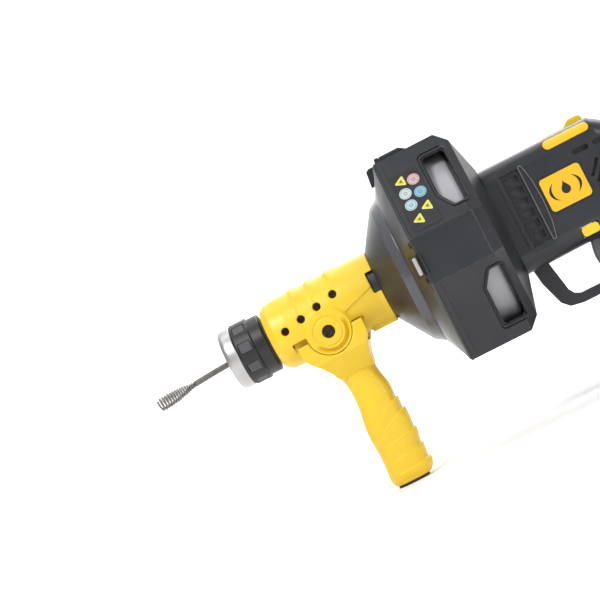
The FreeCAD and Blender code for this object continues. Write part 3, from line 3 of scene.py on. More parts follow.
import bmesh
import bpy
from mathutils import Matrix, Vector
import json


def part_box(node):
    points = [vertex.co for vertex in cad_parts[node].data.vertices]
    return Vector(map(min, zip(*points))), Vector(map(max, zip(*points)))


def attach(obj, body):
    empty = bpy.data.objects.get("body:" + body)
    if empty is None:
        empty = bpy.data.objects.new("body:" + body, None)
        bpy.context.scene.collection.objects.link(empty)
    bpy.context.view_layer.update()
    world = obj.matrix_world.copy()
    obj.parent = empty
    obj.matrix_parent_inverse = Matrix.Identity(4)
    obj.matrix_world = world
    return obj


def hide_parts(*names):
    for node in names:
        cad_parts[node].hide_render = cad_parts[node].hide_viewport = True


# Hand-held cordless drain snake.  The CAD frame is in metres; the nose points towards -X, +Z is up, the
# tool's left side faces -Y and its long axis runs along X at the height AXIS.
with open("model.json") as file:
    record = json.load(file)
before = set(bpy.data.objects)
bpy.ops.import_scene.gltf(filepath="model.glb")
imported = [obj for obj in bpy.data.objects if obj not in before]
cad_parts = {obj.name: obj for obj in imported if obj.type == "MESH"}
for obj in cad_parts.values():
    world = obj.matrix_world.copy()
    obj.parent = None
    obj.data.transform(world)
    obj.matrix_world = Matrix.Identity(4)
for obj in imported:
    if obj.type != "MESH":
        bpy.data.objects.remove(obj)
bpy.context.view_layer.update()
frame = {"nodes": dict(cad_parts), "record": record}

AXIS = 0.19
PIVOT_X, PIVOT_Z = -0.1395, 0.172
MM = 0.001
AXIS_MM = AXIS / MM
BARREL_REAR = -74.5


# ---- meshes ----


def new_object(name, mesh):
    piece = bpy.data.objects.new(name, mesh)
    bpy.context.scene.collection.objects.link(piece)
    return piece


def mesh_from(name, vertices, faces):
    mesh = bpy.data.meshes.new(name)
    mesh.from_pydata([tuple(v) for v in vertices], [], faces)
    mesh.update()
    return mesh


def shade_smooth(mesh):
    mesh.polygons.foreach_set("use_smooth", [True] * len(mesh.polygons))
    mesh.update()


def evaluated_mesh(piece):
    """The mesh of a piece with its modifiers applied."""
    graph = bpy.context.evaluated_depsgraph_get()
    return bpy.data.meshes.new_from_object(piece.evaluated_get(graph))


def smoothstep(low, high, value):
    t = min(1.0, max(0.0, (value - low) / (high - low)))
    return t * t * (3 - 2 * t)


def moulded_copy(name, node, voxel, rounds, shape, keep):
    """Own mesh of a CAD node with soft moulded edges, reshaped point by point, then thinned."""
    mesh = bpy.data.meshes.new(name)
    welded = bmesh.new()
    welded.from_mesh(frame["nodes"][node].data)
    bmesh.ops.remove_doubles(welded, verts=welded.verts, dist=1e-6)
    welded.to_mesh(mesh)
    welded.free()
    piece = new_object(name, mesh)
    remesh = piece.modifiers.new("remesh", "REMESH")
    remesh.mode = "VOXEL"
    remesh.voxel_size = voxel
    piece.data = evaluated_mesh(piece)
    piece.modifiers.clear()
    smooth = piece.modifiers.new("smooth", "SMOOTH")
    smooth.factor = 0.5
    smooth.iterations = rounds
    piece.data = evaluated_mesh(piece)
    piece.modifiers.clear()
    mesh = piece.data
    moves = [shape(v.co, v.normal) for v in mesh.vertices]
    for vertex, move in zip(mesh.vertices, moves):
        vertex.co += move
    mesh.update()
    thin = piece.modifiers.new("thin", "DECIMATE")
    thin.ratio = keep
    piece.data = evaluated_mesh(piece)
    piece.modifiers.clear()
    shade_smooth(piece.data)
    return piece


SHARP_ANGLE = 32


def soft_edges(node, width):
    """Rounds the hard edges of a CAD node with modifiers only."""
    piece = frame["nodes"][node]
    weld = piece.modifiers.new("weld", "WELD")
    weld.merge_threshold = 2e-6
    flat = piece.modifiers.new("flat", "DECIMATE")
    flat.decimate_type = "DISSOLVE"
    flat.angle_limit = math.radians(0.6)
    bevel = piece.modifiers.new("bevel", "BEVEL")
    bevel.width = width
    bevel.segments = 2
    bevel.limit_method = "ANGLE"
    bevel.angle_limit = math.radians(SHARP_ANGLE)
    bevel.use_clamp_overlap = True
    bevel.miter_outer = "MITER_ARC"
    normals = piece.modifiers.new("normals", "WEIGHTED_NORMAL")
    normals.weight = 80
    normals.keep_sharp = False


def swept_wire(points, radius_at, sides):
    """Vertices and faces of a round wire with closed ends along closely spaced points."""
    vertices, faces = [], []
    count = len(points)
    normal = None
    for i, point in enumerate(points):
        before, after = points[max(0, i - 1)], points[min(count - 1, i + 1)]
        tangent = (after - before).normalized()
        if normal is None:
            normal = tangent.orthogonal().normalized()
        normal = (normal - tangent * normal.dot(tangent)).normalized()
        side = tangent.cross(normal)
        for k in range(sides):
            turn = 2 * math.pi * k / sides
            radius = radius_at(i, turn)
            vertices.append(point + (normal * math.cos(turn) + side * math.sin(turn)) * radius)
    for i in range(count - 1):
        for k in range(sides):
            a, b = i * sides + k, i * sides + (k + 1) % sides
            faces.append((a, b, b + sides, a + sides))
    faces.append(tuple(reversed(range(sides))))
    faces.append(tuple((count - 1) * sides + k for k in range(sides)))
    return vertices, faces


def spline_points(name, route, step):
    """Points along the NURBS line that has the route's points as its control points."""
    curve = bpy.data.curves.new(name, "CURVE")
    curve.dimensions = "3D"
    curve.resolution_u = 24
    spline = curve.splines.new("NURBS")
    spline.points.add(len(route) - 1)
    for point, place in zip(spline.points, route):
        point.co = (*place, 1.0)
    spline.order_u = 3
    spline.use_endpoint_u = True
    holder = new_object(name, curve)
    line = evaluated_mesh(holder)
    points = [v.co.copy() for v in line.vertices]
    bpy.data.objects.remove(holder)
    bpy.data.meshes.remove(line)
    spaced = [points[0]]
    travelled, wanted = 0.0, step
    for first, second in zip(points, points[1:]):
        length = (second - first).length
        while travelled + length >= wanted:
            spaced.append(first.lerp(second, (wanted - travelled) / length))
            wanted += step
        travelled += length
    if (spaced[-1] - points[-1]).length > step * 0.3:
        spaced.append(points[-1])
    return spaced


# ---- materials ----


def add(tree, kind, inputs=None, **settings):
    node = tree.nodes.new(kind)
    for key, value in settings.items():
        setattr(node, key, value)
    for key, value in (inputs or {}).items():
        if isinstance(value, bpy.types.NodeSocket):
            tree.links.new(value, node.inputs[key])
        else:
            node.inputs[key].default_value = value
    return node


def number_node(tree, operation, first, second=0.0):
    return add(tree, "ShaderNodeMath", {0: first, 1: second}, operation=operation).outputs[0]


def spread(tree, value, low, high, to_low=0.0, to_high=1.0):
    inputs = {"Value": value, "From Min": low, "From Max": high, "To Min": to_low, "To Max": to_high}
    return add(tree, "ShaderNodeMapRange", inputs).outputs[0]


def blend_colors(tree, factor, first, second):
    node = add(tree, "ShaderNodeMix", {0: factor}, data_type="RGBA")
    for index, color in ((6, first), (7, second)):
        if isinstance(color, bpy.types.NodeSocket):
            tree.links.new(color, node.inputs[index])
        else:
            node.inputs[index].default_value = (*color, 1.0)
    return node.outputs[2]


def noise(tree, vector, scale, detail=3.0, distortion=0.0, roughness=0.55):
    inputs = {"Vector": vector, "Scale": scale, "Detail": detail, "Distortion": distortion,
              "Roughness": roughness}
    return add(tree, "ShaderNodeTexNoise", inputs).outputs["Fac"]


def edge_mask(tree, radius, vector):
    """One on worn outer edges, broken up along them."""
    round_normal = add(tree, "ShaderNodeBevel", {"Radius": radius}, samples=4).outputs[0]
    flat_normal = add(tree, "ShaderNodeNewGeometry").outputs["Normal"]
    alike = add(tree, "ShaderNodeVectorMath", {0: round_normal, 1: flat_normal}, operation="DOT_PRODUCT")
    edge = spread(tree, alike.outputs["Value"], 0.995, 0.86)
    broken = spread(tree, noise(tree, vector, 140, 5), 0.42, 0.62)
    return number_node(tree, "MULTIPLY", edge, broken)


def scaled(color, factor):
    return tuple(min(1.0, c * factor) for c in color)


def base_material(name):
    material = bpy.data.materials.new(name)
    material.use_nodes = True
    tree = material.node_tree
    return material, tree, tree.nodes["Principled BSDF"], add(tree, "ShaderNodeTexCoord").outputs["Object"]


def bump_chain(tree, bsdf, heights):
    """Fine relief from pairs of height and depth in metres, each on top of the one before."""
    normal = None
    for height, depth in heights:
        inputs = {"Height": height, "Distance": depth, "Strength": 1.0}
        if normal is not None:
            inputs["Normal"] = normal
        normal = add(tree, "ShaderNodeBump", inputs).outputs[0]
    tree.links.new(normal, bsdf.inputs["Normal"])


def moulded_plastic(name, color, rough, grain=1700, depth=0.03, vary=0.08, wear=None, coat=0.0, zone=None):
    """Moulded plastic: faint patches, smudged gloss, fine spark-eroded grain and rubbed edges."""
    material, tree, bsdf, place = base_material(name)
    patches = spread(tree, noise(tree, place, 22, 6, 0.4), 0.32, 0.68)
    tone = blend_colors(tree, patches, scaled(color, 1 - vary), scaled(color, 1 + vary))
    speckle = spread(tree, noise(tree, place, 420, 2), 0.35, 0.75, 0.0, 0.35)
    tone = blend_colors(tree, speckle, tone, scaled(color, 1 - 2.2 * vary))
    gloss = spread(tree, noise(tree, place, 14, 8, 0.6), 0.3, 0.72, rough - 0.07, rough + 0.1)
    heights = [(noise(tree, place, 230, 3), depth * 1.4 * MM), (noise(tree, place, grain, 1), depth * MM)]
    if wear:
        mask = number_node(tree, "MULTIPLY", edge_mask(tree, 0.9 * MM, place), 0.55)
        tone = blend_colors(tree, mask, tone, wear)
        gloss = number_node(tree, "SUBTRACT", gloss, number_node(tree, "MULTIPLY", mask, 0.15))
    if zone:
        tone, gloss, heights = zone(tree, place, tone, gloss, heights)
    tree.links.new(tone, bsdf.inputs["Base Color"])
    tree.links.new(gloss, bsdf.inputs["Roughness"])
    bsdf.inputs["Coat Weight"].default_value = coat
    bsdf.inputs["Coat Roughness"].default_value = 0.22
    bump_chain(tree, bsdf, heights)
    return material


def radius_from_axis(tree, place):
    parts = add(tree, "ShaderNodeSeparateXYZ", {0: place})
    level = number_node(tree, "SUBTRACT", parts.outputs[2], AXIS)
    square = number_node(tree, "ADD", number_node(tree, "POWER", parts.outputs[1], 2.0),
                         number_node(tree, "POWER", level, 2.0))
    return parts.outputs[0], number_node(tree, "SQRT", square)


def turned_metal(name, color, rough):
    """Lathe-turned metal with fine rings about the tool's axis."""
    material, tree, bsdf, place = base_material(name)
    along, radius = radius_from_axis(tree, place)
    rings = add(tree, "ShaderNodeCombineXYZ", {0: along, 1: radius}).outputs[0]
    fine = noise(tree, rings, 1500.0, 4, 0.0, 0.8)
    stain = spread(tree, noise(tree, place, 60, 6, 0.8), 0.35, 0.7)
    tone = blend_colors(tree, stain, scaled(color, 0.86), color)
    tone = blend_colors(tree, spread(tree, fine, 0.3, 0.7, 0.0, 0.25), tone, scaled(color, 0.7))
    tree.links.new(tone, bsdf.inputs["Base Color"])
    bsdf.inputs["Metallic"].default_value = 1.0
    gloss = spread(tree, noise(tree, place, 35, 6), 0.3, 0.7, rough - 0.06, rough + 0.1)
    tree.links.new(gloss, bsdf.inputs["Roughness"])
    bump_chain(tree, bsdf, [(fine, 0.012 * MM), (noise(tree, place, 500, 3), 0.01 * MM)])
    return material


def worn_metal(name, color, grime, rough, wear=None, scale=300, depth=0.02):
    """Bare or blackened steel with random patches of grime and, where wear is given, rubbed outer edges."""
    material, tree, bsdf, place = base_material(name)
    dirt = spread(tree, noise(tree, place, scale, 6, 0.5), 0.38, 0.66)
    tone = blend_colors(tree, dirt, color, grime)
    if wear:
        tone = blend_colors(tree, edge_mask(tree, 0.6 * MM, place), tone, wear)
    tree.links.new(tone, bsdf.inputs["Base Color"])
    gloss = spread(tree, noise(tree, place, scale * 0.6, 5), 0.3, 0.7, rough - 0.08, rough + 0.14)
    tree.links.new(gloss, bsdf.inputs["Roughness"])
    bsdf.inputs["Metallic"].default_value = 1.0
    bump_chain(tree, bsdf, [(noise(tree, place, scale * 3, 3), depth * MM)])
    return material


def wire_metal(name, color, shade_and_oil_color, rough):
    """Spring wire: its own colour on the crowns, painted shade in the hollows between the turns, and oily
    patches at random.
    """
    material, tree, bsdf, place = base_material(name)
    point = add(tree, "ShaderNodeNewGeometry").outputs["Pointiness"]
    # Painted shade: where pointiness is low, in the hollows between the turns, the colour goes towards the
    # second, darker colour, which also tints the oil patches.
    unshaded_crown = spread(tree, point, 0.44, 0.56)
    oil = spread(tree, noise(tree, place, 260, 5, 1.0), 0.3, 0.7, 0.0, 0.35)
    tone = blend_colors(tree, unshaded_crown, shade_and_oil_color, color)
    tone = blend_colors(tree, oil, tone, scaled(shade_and_oil_color, 1.5))
    tree.links.new(tone, bsdf.inputs["Base Color"])
    gloss = spread(tree, noise(tree, place, 400, 4), 0.3, 0.7, rough - 0.08, rough + 0.12)
    tree.links.new(gloss, bsdf.inputs["Roughness"])
    bsdf.inputs["Metallic"].default_value = 0.85
    bump_chain(tree, bsdf, [(noise(tree, place, 1500, 2), 0.02 * MM)])
    return material


def grip_zone(tree, place, tone, gloss, heights):
    """Soft overmould on the main grip: a region below a slanting line, with small pyramids."""
    parts = add(tree, "ShaderNodeSeparateXYZ", {0: place})
    x, y, z = parts.outputs
    slant = number_node(tree, "ADD", z, number_node(tree, "MULTIPLY", x, -0.9))
    below = spread(tree, slant, 0.0163, 0.0158)
    above_foot = spread(tree, z, 0.0665, 0.0671)
    behind = spread(tree, x, 0.1437, 0.1441)
    zone = number_node(tree, "MULTIPLY", number_node(tree, "MULTIPLY", below, above_foot), behind)
    tone = blend_colors(tree, number_node(tree, "MULTIPLY", zone, 0.7), tone, (0.014, 0.014, 0.015))
    gloss = number_node(tree, "ADD", gloss, number_node(tree, "MULTIPLY", zone, 0.12))
    diagonals = []
    for sign in (1, -1):
        mixed = number_node(tree, "ADD", x, number_node(tree, "MULTIPLY", z, float(sign)))
        diagonals.append(number_node(tree, "SINE", number_node(tree, "MULTIPLY", mixed, 2100.0)))
    pyramids = number_node(tree, "MULTIPLY", diagonals[0], diagonals[1])
    pattern = number_node(tree, "MULTIPLY", number_node(tree, "ABSOLUTE", pyramids), zone)
    return tone, gloss, heights + [(zone, 0.35 * MM), (pattern, 0.35 * MM)]


def film(name, color, rough=0.3):
    """Printed film with slight unevenness of ink."""
    material, tree, bsdf, place = base_material(name)
    ink = spread(tree, noise(tree, place, 900, 3), 0.35, 0.7)
    wash = spread(tree, noise(tree, place, 90, 4), 0.3, 0.7, 0.0, 0.4)
    tone = blend_colors(tree, ink, scaled(color, 0.9), color)
    tone = blend_colors(tree, wash, tone, scaled(color, 0.82))
    tree.links.new(tone, bsdf.inputs["Base Color"])
    gloss = spread(tree, noise(tree, place, 60, 5), 0.3, 0.7, rough - 0.05, rough + 0.1)
    tree.links.new(gloss, bsdf.inputs["Roughness"])
    bump_chain(tree, bsdf, [(noise(tree, place, 700, 2), 0.012 * MM)])
    return material


YELLOW = (0.79, 0.525, 0.018)
DARK = (0.017, 0.018, 0.023)
materials = {
    "yellow_plastic": moulded_plastic("yellow_moulded", YELLOW, 0.42, vary=0.05, wear=(0.95, 0.76, 0.16),
                                      coat=0.08),
    "dark_plastic": moulded_plastic("dark_moulded", DARK, 0.37, 1500, 0.04, 0.14, (0.12, 0.12, 0.13), 0.15,
                                    grip_zone),
    "cone_plastic": moulded_plastic("cone_moulded", (0.021, 0.022, 0.026), 0.34, 1900, 0.02, 0.12,
                                    (0.11, 0.11, 0.12), 0.15),
    "black_plastic": moulded_plastic("black_moulded", (0.010, 0.010, 0.012), 0.42, 1500, 0.03, 0.15,
                                     (0.06, 0.06, 0.07)),
    "grey_plastic": moulded_plastic("grey_moulded", (0.13, 0.132, 0.14), 0.42, 1500, 0.03, 0.08,
                                    (0.26, 0.26, 0.27)),
    "drum_plastic": moulded_plastic("drum_moulded", (0.36, 0.36, 0.385), 0.5, 1500, 0.03, 0.07),
    "inner_plastic": moulded_plastic("inner_moulded", (0.05, 0.05, 0.055), 0.55, 1500, 0.03, 0.1),
    "ring_metal": turned_metal("ring_turned", (0.56, 0.555, 0.55), 0.38),
    # The second colour is the painted shade between the wire's turns and the tint of its oil patches.
    "cable_steel": wire_metal("spring_wire", (0.30, 0.27, 0.265), (0.022, 0.018, 0.018), 0.36),
    "steel": worn_metal("machined_steel", (0.62, 0.61, 0.60), (0.34, 0.33, 0.32), 0.3, (0.75, 0.74, 0.73)),
    "black_steel": worn_metal("blackened_screw", (0.07, 0.05, 0.047), (0.025, 0.018, 0.018), 0.36,
                              (0.30, 0.27, 0.26)),
    "gear_steel": worn_metal("sintered_steel", (0.45, 0.45, 0.46), (0.22, 0.21, 0.20), 0.42),
    "copper_winding": worn_metal("copper_winding", (0.62, 0.27, 0.10), (0.30, 0.12, 0.05), 0.35),
    "circuit_board": film("board_lacquer", (0.02, 0.16, 0.06), 0.35),
    "cell_wrap": film("cell_wrap", (0.05, 0.20, 0.42), 0.3),
    "pad_rubber": moulded_plastic("foot_rubber", (0.018, 0.018, 0.019), 0.72, 1200, 0.06, 0.15),
    "pad_grey": moulded_plastic("grip_pad", (0.060, 0.062, 0.068), 0.5, 1500, 0.04, 0.1),
    "label_film": film("label_film", (0.012, 0.012, 0.014), 0.38),
}

plate_yellow = moulded_plastic("plate_lacquer", (0.86, 0.46, 0.012), 0.32, 1900, 0.01, 0.05,
                               (0.92, 0.62, 0.08), 0.3)
for entry in frame["record"]["subparts"]:
    node = frame["nodes"][entry["node"]]
    finish = materials[entry["material_slot"]]
    if entry["node"] in ("name_plates", "side_trims"):
        finish = plate_yellow
    node.data.materials.clear()
    node.data.materials.append(finish)


# ---- camera ----

EYE = Vector((0.0005, -2.0, 0.155))
AIM = Vector((-0.1535, 0.0, 0.2134))
PICTURE_UP = Vector((0.454, 0.0, 0.891))
forward = (AIM - EYE).normalized()
right = forward.cross(PICTURE_UP).normalized()
up = right.cross(forward)
camera_data = bpy.data.cameras.new("camera")
camera_data.lens = 120
camera_data.sensor_width = 36
camera_data.clip_end = 30
camera = new_object("camera", camera_data)
facing = Matrix((right, up, -forward)).transposed().to_4x4()
camera.matrix_world = Matrix.Translation(EYE) @ facing
bpy.context.scene.camera = camera

# ---- cable end and auger ----

CABLE_ROUTE = [(-0.2445, 0, AXIS - 0.0013), (-0.2585, 0, AXIS - 0.0021), (-0.2725, 0, AXIS - 0.00305),
               (-0.2865, 0, AXIS - 0.00415)]
CABLE_RADIUS = 0.0032
WIRE_PITCH = 0.0017
WIRE_GROOVE = 0.00042
STEP = 0.00014
line = spline_points("cable_line", CABLE_ROUTE, STEP)


def wound_radius(i, turn):
    """Outer surface of a close-wound wire."""
    phase = i * STEP / WIRE_PITCH * 2 * math.pi + turn
    return CABLE_RADIUS - WIRE_GROOVE * (1 - abs(math.cos(phase / 2)) ** 0.7)


cable = new_object("cable_wound", mesh_from("cable_wound", *swept_wire(line, wound_radius, 28)))
shade_smooth(cable.data)
cable.data.materials.append(materials["cable_steel"])

AUGER_LENGTH = 0.045
WIRE_RADIUS = 0.00108
tip = Vector(CABLE_ROUTE[-1])
droop = math.radians(4.8)
ahead = Vector((-math.cos(droop), 0, -math.sin(droop)))
above = Vector((-math.sin(droop), 0, math.cos(droop)))
beside = ahead.cross(above)
HELIX_POINTS = 1100
AUGER_TURNS, TURNS_LOST = 17.5, 2.2
BULB = ((0.0, 2.1), (0.1, 2.5), (0.3, 4.3), (0.52, 5.6), (0.72, 6.1), (0.88, 6.1), (0.95, 5.6), (1.0, 3.4))


def bulb_radius(t):
    for (a, low), (b, high) in zip(BULB, BULB[1:]):
        if t <= b:
            return (low + (high - low) * smoothstep(a, b, t)) * MM
    return BULB[-1][1] * MM


helix = []
for i in range(HELIX_POINTS):
    t = i / (HELIX_POINTS - 1)
    turn = 2 * math.pi * (AUGER_TURNS * t - TURNS_LOST * t * t)
    wobble = 1 + 0.012 * math.sin(turn * 0.37 + 1.0)
    centre = tip + ahead * (0.0006 + (AUGER_LENGTH - 0.0024) * t)
    helix.append(centre + (above * math.cos(turn) + beside * math.sin(turn)) * bulb_radius(t) * wobble)


def wire_radius(i, turn):
    ends = min(i, HELIX_POINTS - 1 - i) / 14
    return WIRE_RADIUS * (1.0 if ends >= 1 else math.sqrt(max(0.02, 1 - (1 - ends) ** 2)))


auger = new_object("auger_spring", mesh_from("auger_spring", *swept_wire(helix, wire_radius, 12)))
shade_smooth(auger.data)
auger.data.materials.append(materials["cable_steel"])
for piece, node in ((cable, "cable_end"), (auger, "auger_tip")):
    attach(piece, "cable")
    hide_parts(node)
[tuple(p) for p in line]


# ---- nose housing and front handle ----


def side_place(point):
    """Distance ahead of the barrel's rear edge and level over the tool's axis in mm, then distance in mm and
    angle in degrees about the pivot."""
    ahead_mm, level = BARREL_REAR - point.x * 1000, (point.z - AXIS) * 1000
    back, rise = (point.x - PIVOT_X) * 1000, (point.z - PIVOT_Z) * 1000
    return ahead_mm, level, math.hypot(back, rise), math.degrees(math.atan2(rise, back))


SHINGLES = (85.9, 66.9, 45.9)
SHINGLE_HEIGHT = 1.5
SIDE_FACE, CRESCENT_FLOOR = 33.0, 32.5
BOSS_RIM, CRESCENT_RIM, CRESCENT_DEPTH = 15, 24.5, 5.6
REAR_STEP_DEPTH = 1.5


def shingle_height(ahead_mm, level, outward):
    """Steps on top of the barrel that rise sharply at their front edge and run out behind."""
    lean = math.degrees(math.atan2(outward, level))
    fade = 1 - smoothstep(38, 62, lean)
    height = 0.0
    for place in SHINGLES:
        behind = place - ahead_mm - max(0.0, lean - 25) * 0.05
        if behind > 0:
            height = max(height, smoothstep(0, 1.2, behind) * (1 - smoothstep(1.2, 15, behind)))
    return SHINGLE_HEIGHT * height * fade


def nose_shape(point, normal):
    """Crescent beside the pivot boss, a lower step behind it, and the steps on top."""
    ahead_mm, level, radius, angle = side_place(point)
    outward = abs(point.y) * 1000
    away = Vector((0, point.y, point.z - AXIS))
    move = Vector()
    if level > 12 and math.hypot(outward, level) > 36:
        move += away.normalized() * shingle_height(ahead_mm, level, outward) * MM
    if outward > SIDE_FACE and BOSS_RIM < radius < CRESCENT_RIM:
        down = -angle
        span = smoothstep(-30, 5, down) * (1 - smoothstep(125, 160, down))
        scoop = smoothstep(16.4, 17.6, radius) * (1 - 0.85 * smoothstep(18.5, 22.3, radius))
        depth = CRESCENT_DEPTH * span * scoop
        move.y -= math.copysign(min(depth, max(0.0, outward - CRESCENT_FLOOR)) * MM, point.y)
    elif outward > 12 and math.hypot(outward, level) > 34.5 and normal.dot(away) > 0:
        ridge = -1.5 - (ahead_mm - 20) * 0.32
        inside = smoothstep(-1.0, 0.6, ridge - level) * (1 - smoothstep(44, 49, ahead_mm))
        inside *= 1 - smoothstep(26, 36, -level)
        start = smoothstep(-1, 6, ahead_mm)
        move -= away.normalized() * REAR_STEP_DEPTH * inside * start * MM
    return move


GRIP_TOP, GRIP_FOOT = -88.0, -186.5
GRIP_REAR, GRIP_WIDTH = 40, 32
CREASE_DEPTH, CREASE_RISE = 1.2, 2.5
CREASES = ((-107.0, -120.0), (-120.0, -134.0), (-141.0, -146.5), (-158.0, -163.5), (-173.0, -176.0))


def handle_shape(point, normal):
    """Overlapping steps that climb from the handle's front edge to its rear edge."""
    ahead_mm, level = side_place(point)[:2]
    if level > GRIP_TOP or level < GRIP_FOOT:
        return Vector()
    across = (ahead_mm - GRIP_REAR) / GRIP_WIDTH
    lines = [rear + (front - rear) * across for rear, front in CREASES]
    fade = (1 - smoothstep(64, 75, ahead_mm)) * smoothstep(GRIP_FOOT, -183, level)
    upper, lower = GRIP_TOP, lines[0]
    for i, line_level in enumerate(lines):
        if level <= line_level:
            upper = line_level
            lower = lines[i + 1] if i + 1 < len(lines) else -189.0
    part = (upper - level) / (upper - lower)
    if upper == GRIP_TOP:
        offset = -CREASE_DEPTH * part * part
    else:
        rise = smoothstep(0.0, 1.4, upper - level)
        offset = -CREASE_DEPTH + rise * CREASE_RISE - CREASE_RISE * max(0.0, part) ** 1.2 * rise
    return normal * offset * fade * MM


for side in ("left", "right"):
    shell = moulded_copy(f"barrel_{side}", f"nose_housing_{side}", 0.62 * MM, 5, nose_shape, 0.55)
    shell.data.materials.clear()
    shell.data.materials.append(materials["yellow_plastic"])
    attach(shell, "root")
    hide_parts(f"nose_housing_{side}")

grip = moulded_copy("front_grip", "handle_grip", 0.7 * MM, 9, handle_shape, 0.6)
grip.data.materials.clear()
grip.data.materials.append(materials["yellow_plastic"])
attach(grip, "handle")
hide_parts("handle_grip")


# ---- icons on the label ----


def outline_points(count, radius):
    """Places evenly spaced on a circle."""
    turns = [2 * math.pi * k / count for k in range(count)]
    return [(radius * math.cos(turn), radius * math.sin(turn)) for turn in turns]


def rounded_triangle(size, corner=0.16, steps=5):
    """Triangle with its apex up and round corners."""
    points = []
    for k in range(3):
        turn = math.pi / 2 + k * 2 * math.pi / 3
        cx, cy = (size * (1 - corner * 2) * math.cos(turn), size * (1 - corner * 2) * math.sin(turn))
        for i in range(steps + 1):
            bend = turn - math.pi / 3 + i / steps * 2 * math.pi / 3
            points.append((cx + size * corner * math.cos(bend), cy + size * corner * math.sin(bend)))
    return points


def flat_badge(name, rings, thickness, to_world):
    """Flat printed badge: nested outlines, each ring between two of them with its own material."""
    vertices, faces, slots = [], [], []
    count = len(rings[0][0])
    for points, _ in rings:
        vertices += [to_world(x, y, thickness) for x, y in points]
    base = len(vertices)
    vertices += [to_world(x, y, 0.0) for x, y in rings[0][0]]
    for k in range(count):
        nxt = (k + 1) % count
        faces.append((base + k, base + nxt, nxt, k))
        slots.append(0)
    for r in range(len(rings) - 1):
        for k in range(count):
            nxt = (k + 1) % count
            faces.append((r * count + k, r * count + nxt, (r + 1) * count + nxt, (r + 1) * count + k))
            slots.append(r)
    faces.append(tuple((len(rings) - 1) * count + k for k in range(count)))
    slots.append(len(rings) - 1)
    piece = new_object(name, mesh_from(name, vertices, faces))
    for _, material in rings:
        piece.data.materials.append(material)
    for polygon, slot in zip(piece.data.polygons, slots):
        polygon.material_index = slot
    return piece


LABEL_HEIGHT = 106.5
COS_60, SIN_60 = 0.5, 0.8660254
ICON_UP = Vector((0.454, 0.891))


def on_label(cx, cy):
    """Maps a badge's own flat places onto the label at (cx, cy) of the slanting facet, in mm."""
    side = Vector((ICON_UP.y, -ICON_UP.x))

    def to_world(x, y, height):
        px, py = cx + x * side.x + y * ICON_UP.x, cy + x * side.y + y * ICON_UP.y
        level = LABEL_HEIGHT + height
        return (px * MM, (COS_60 * py - SIN_60 * level) * MM, AXIS + (SIN_60 * py + COS_60 * level) * MM)

    return to_world


inks = {
    "yellow": film("ink_yellow", (0.62, 0.60, 0.06)),
    "pale_yellow": film("ink_pale_yellow", (0.68, 0.66, 0.16)),
    "pink": film("ink_pink", (0.62, 0.38, 0.40)),
    "white": film("ink_white", (0.52, 0.60, 0.58)),
    "blue": film("ink_blue", (0.22, 0.42, 0.56)),
    "pale_blue": film("ink_pale_blue", (0.40, 0.54, 0.60)),
    "dim": film("ink_dim", (0.12, 0.18, 0.20)),
    "olive": film("ink_olive", (0.16, 0.15, 0.02)),
}
BADGES = (
    ("triangle", -9.5, 28.5, "pale_yellow", "olive"), ("triangle", 3.0, -9.0, "pale_yellow", "olive"),
    ("triangle", -9.5, -18.5, "pale_yellow", "olive"), ("disc", 2.3, 25.1, "pink", "pink"),
    ("disc", -10.7, 14.1, "white", "white"), ("disc", 3.0, 8.9, "blue", "blue"),
    ("disc", -10.7, -0.3, "pale_blue", "pale_blue"),
)
for index, (form, cx, cy, edge, core) in enumerate(BADGES):
    if form == "triangle":
        rings = [(rounded_triangle(7.4), inks[edge]), (rounded_triangle(4.6), inks["yellow"]),
                 (rounded_triangle(2.4), inks[core])]
    else:
        rings = [(outline_points(36, 6.1), inks[edge]), (outline_points(36, 5.0), inks["dim"]),
                 (outline_points(36, 4.6), inks[core]), (outline_points(36, 1.9), inks["dim"]),
                 (outline_points(36, 1.2), inks[edge])]
    badge = flat_badge(f"label_badge_{index}", rings, 0.16, on_label(cx, cy))
    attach(badge, "root")


# ---- window rims, seam lines, painted highlight on the cone band, ridges and gussets ----


def rounded_box(name, low, high, radius):
    """Box between two corners in mm, its edges rounded."""
    mesh = bpy.data.meshes.new(name)
    box = bmesh.new()
    bmesh.ops.create_cube(box, size=1.0)
    for vertex in box.verts:
        vertex.co = Vector([(low[i] + high[i]) / 2 + vertex.co[i] * (high[i] - low[i]) for i in range(3)]) * MM
    bmesh.ops.bevel(box, geom=box.edges[:], offset=radius * MM, segments=3, profile=0.5, affect="EDGES")
    box.to_mesh(mesh)
    box.free()
    shade_smooth(mesh)
    piece = new_object(name, mesh)
    piece.modifiers.new("normals", "WEIGHTED_NORMAL")
    return piece


def dress(piece, body, slot):
    piece.data.materials.append(materials[slot])
    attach(piece, body)


def plate_strip(pairs, height):
    """Thin raised strip on the side of the body, between pairs of points given as X and level in mm."""
    vertices, faces = [], []
    for inner, outer in pairs:
        for x, level in (inner, outer):
            vertices += [(x, 0.0, level), (x, height, level)]
    for i in range(len(pairs) - 1):
        a = 4 * i
        faces += [(a + 1, a + 3, a + 7, a + 5), (a, a + 4, a + 6, a + 2), (a, a + 1, a + 5, a + 4),
                  (a + 2, a + 6, a + 7, a + 3)]
    end = 4 * (len(pairs) - 1)
    faces += [(0, 2, 3, 1), (end, end + 1, end + 3, end + 2)]
    return vertices, faces


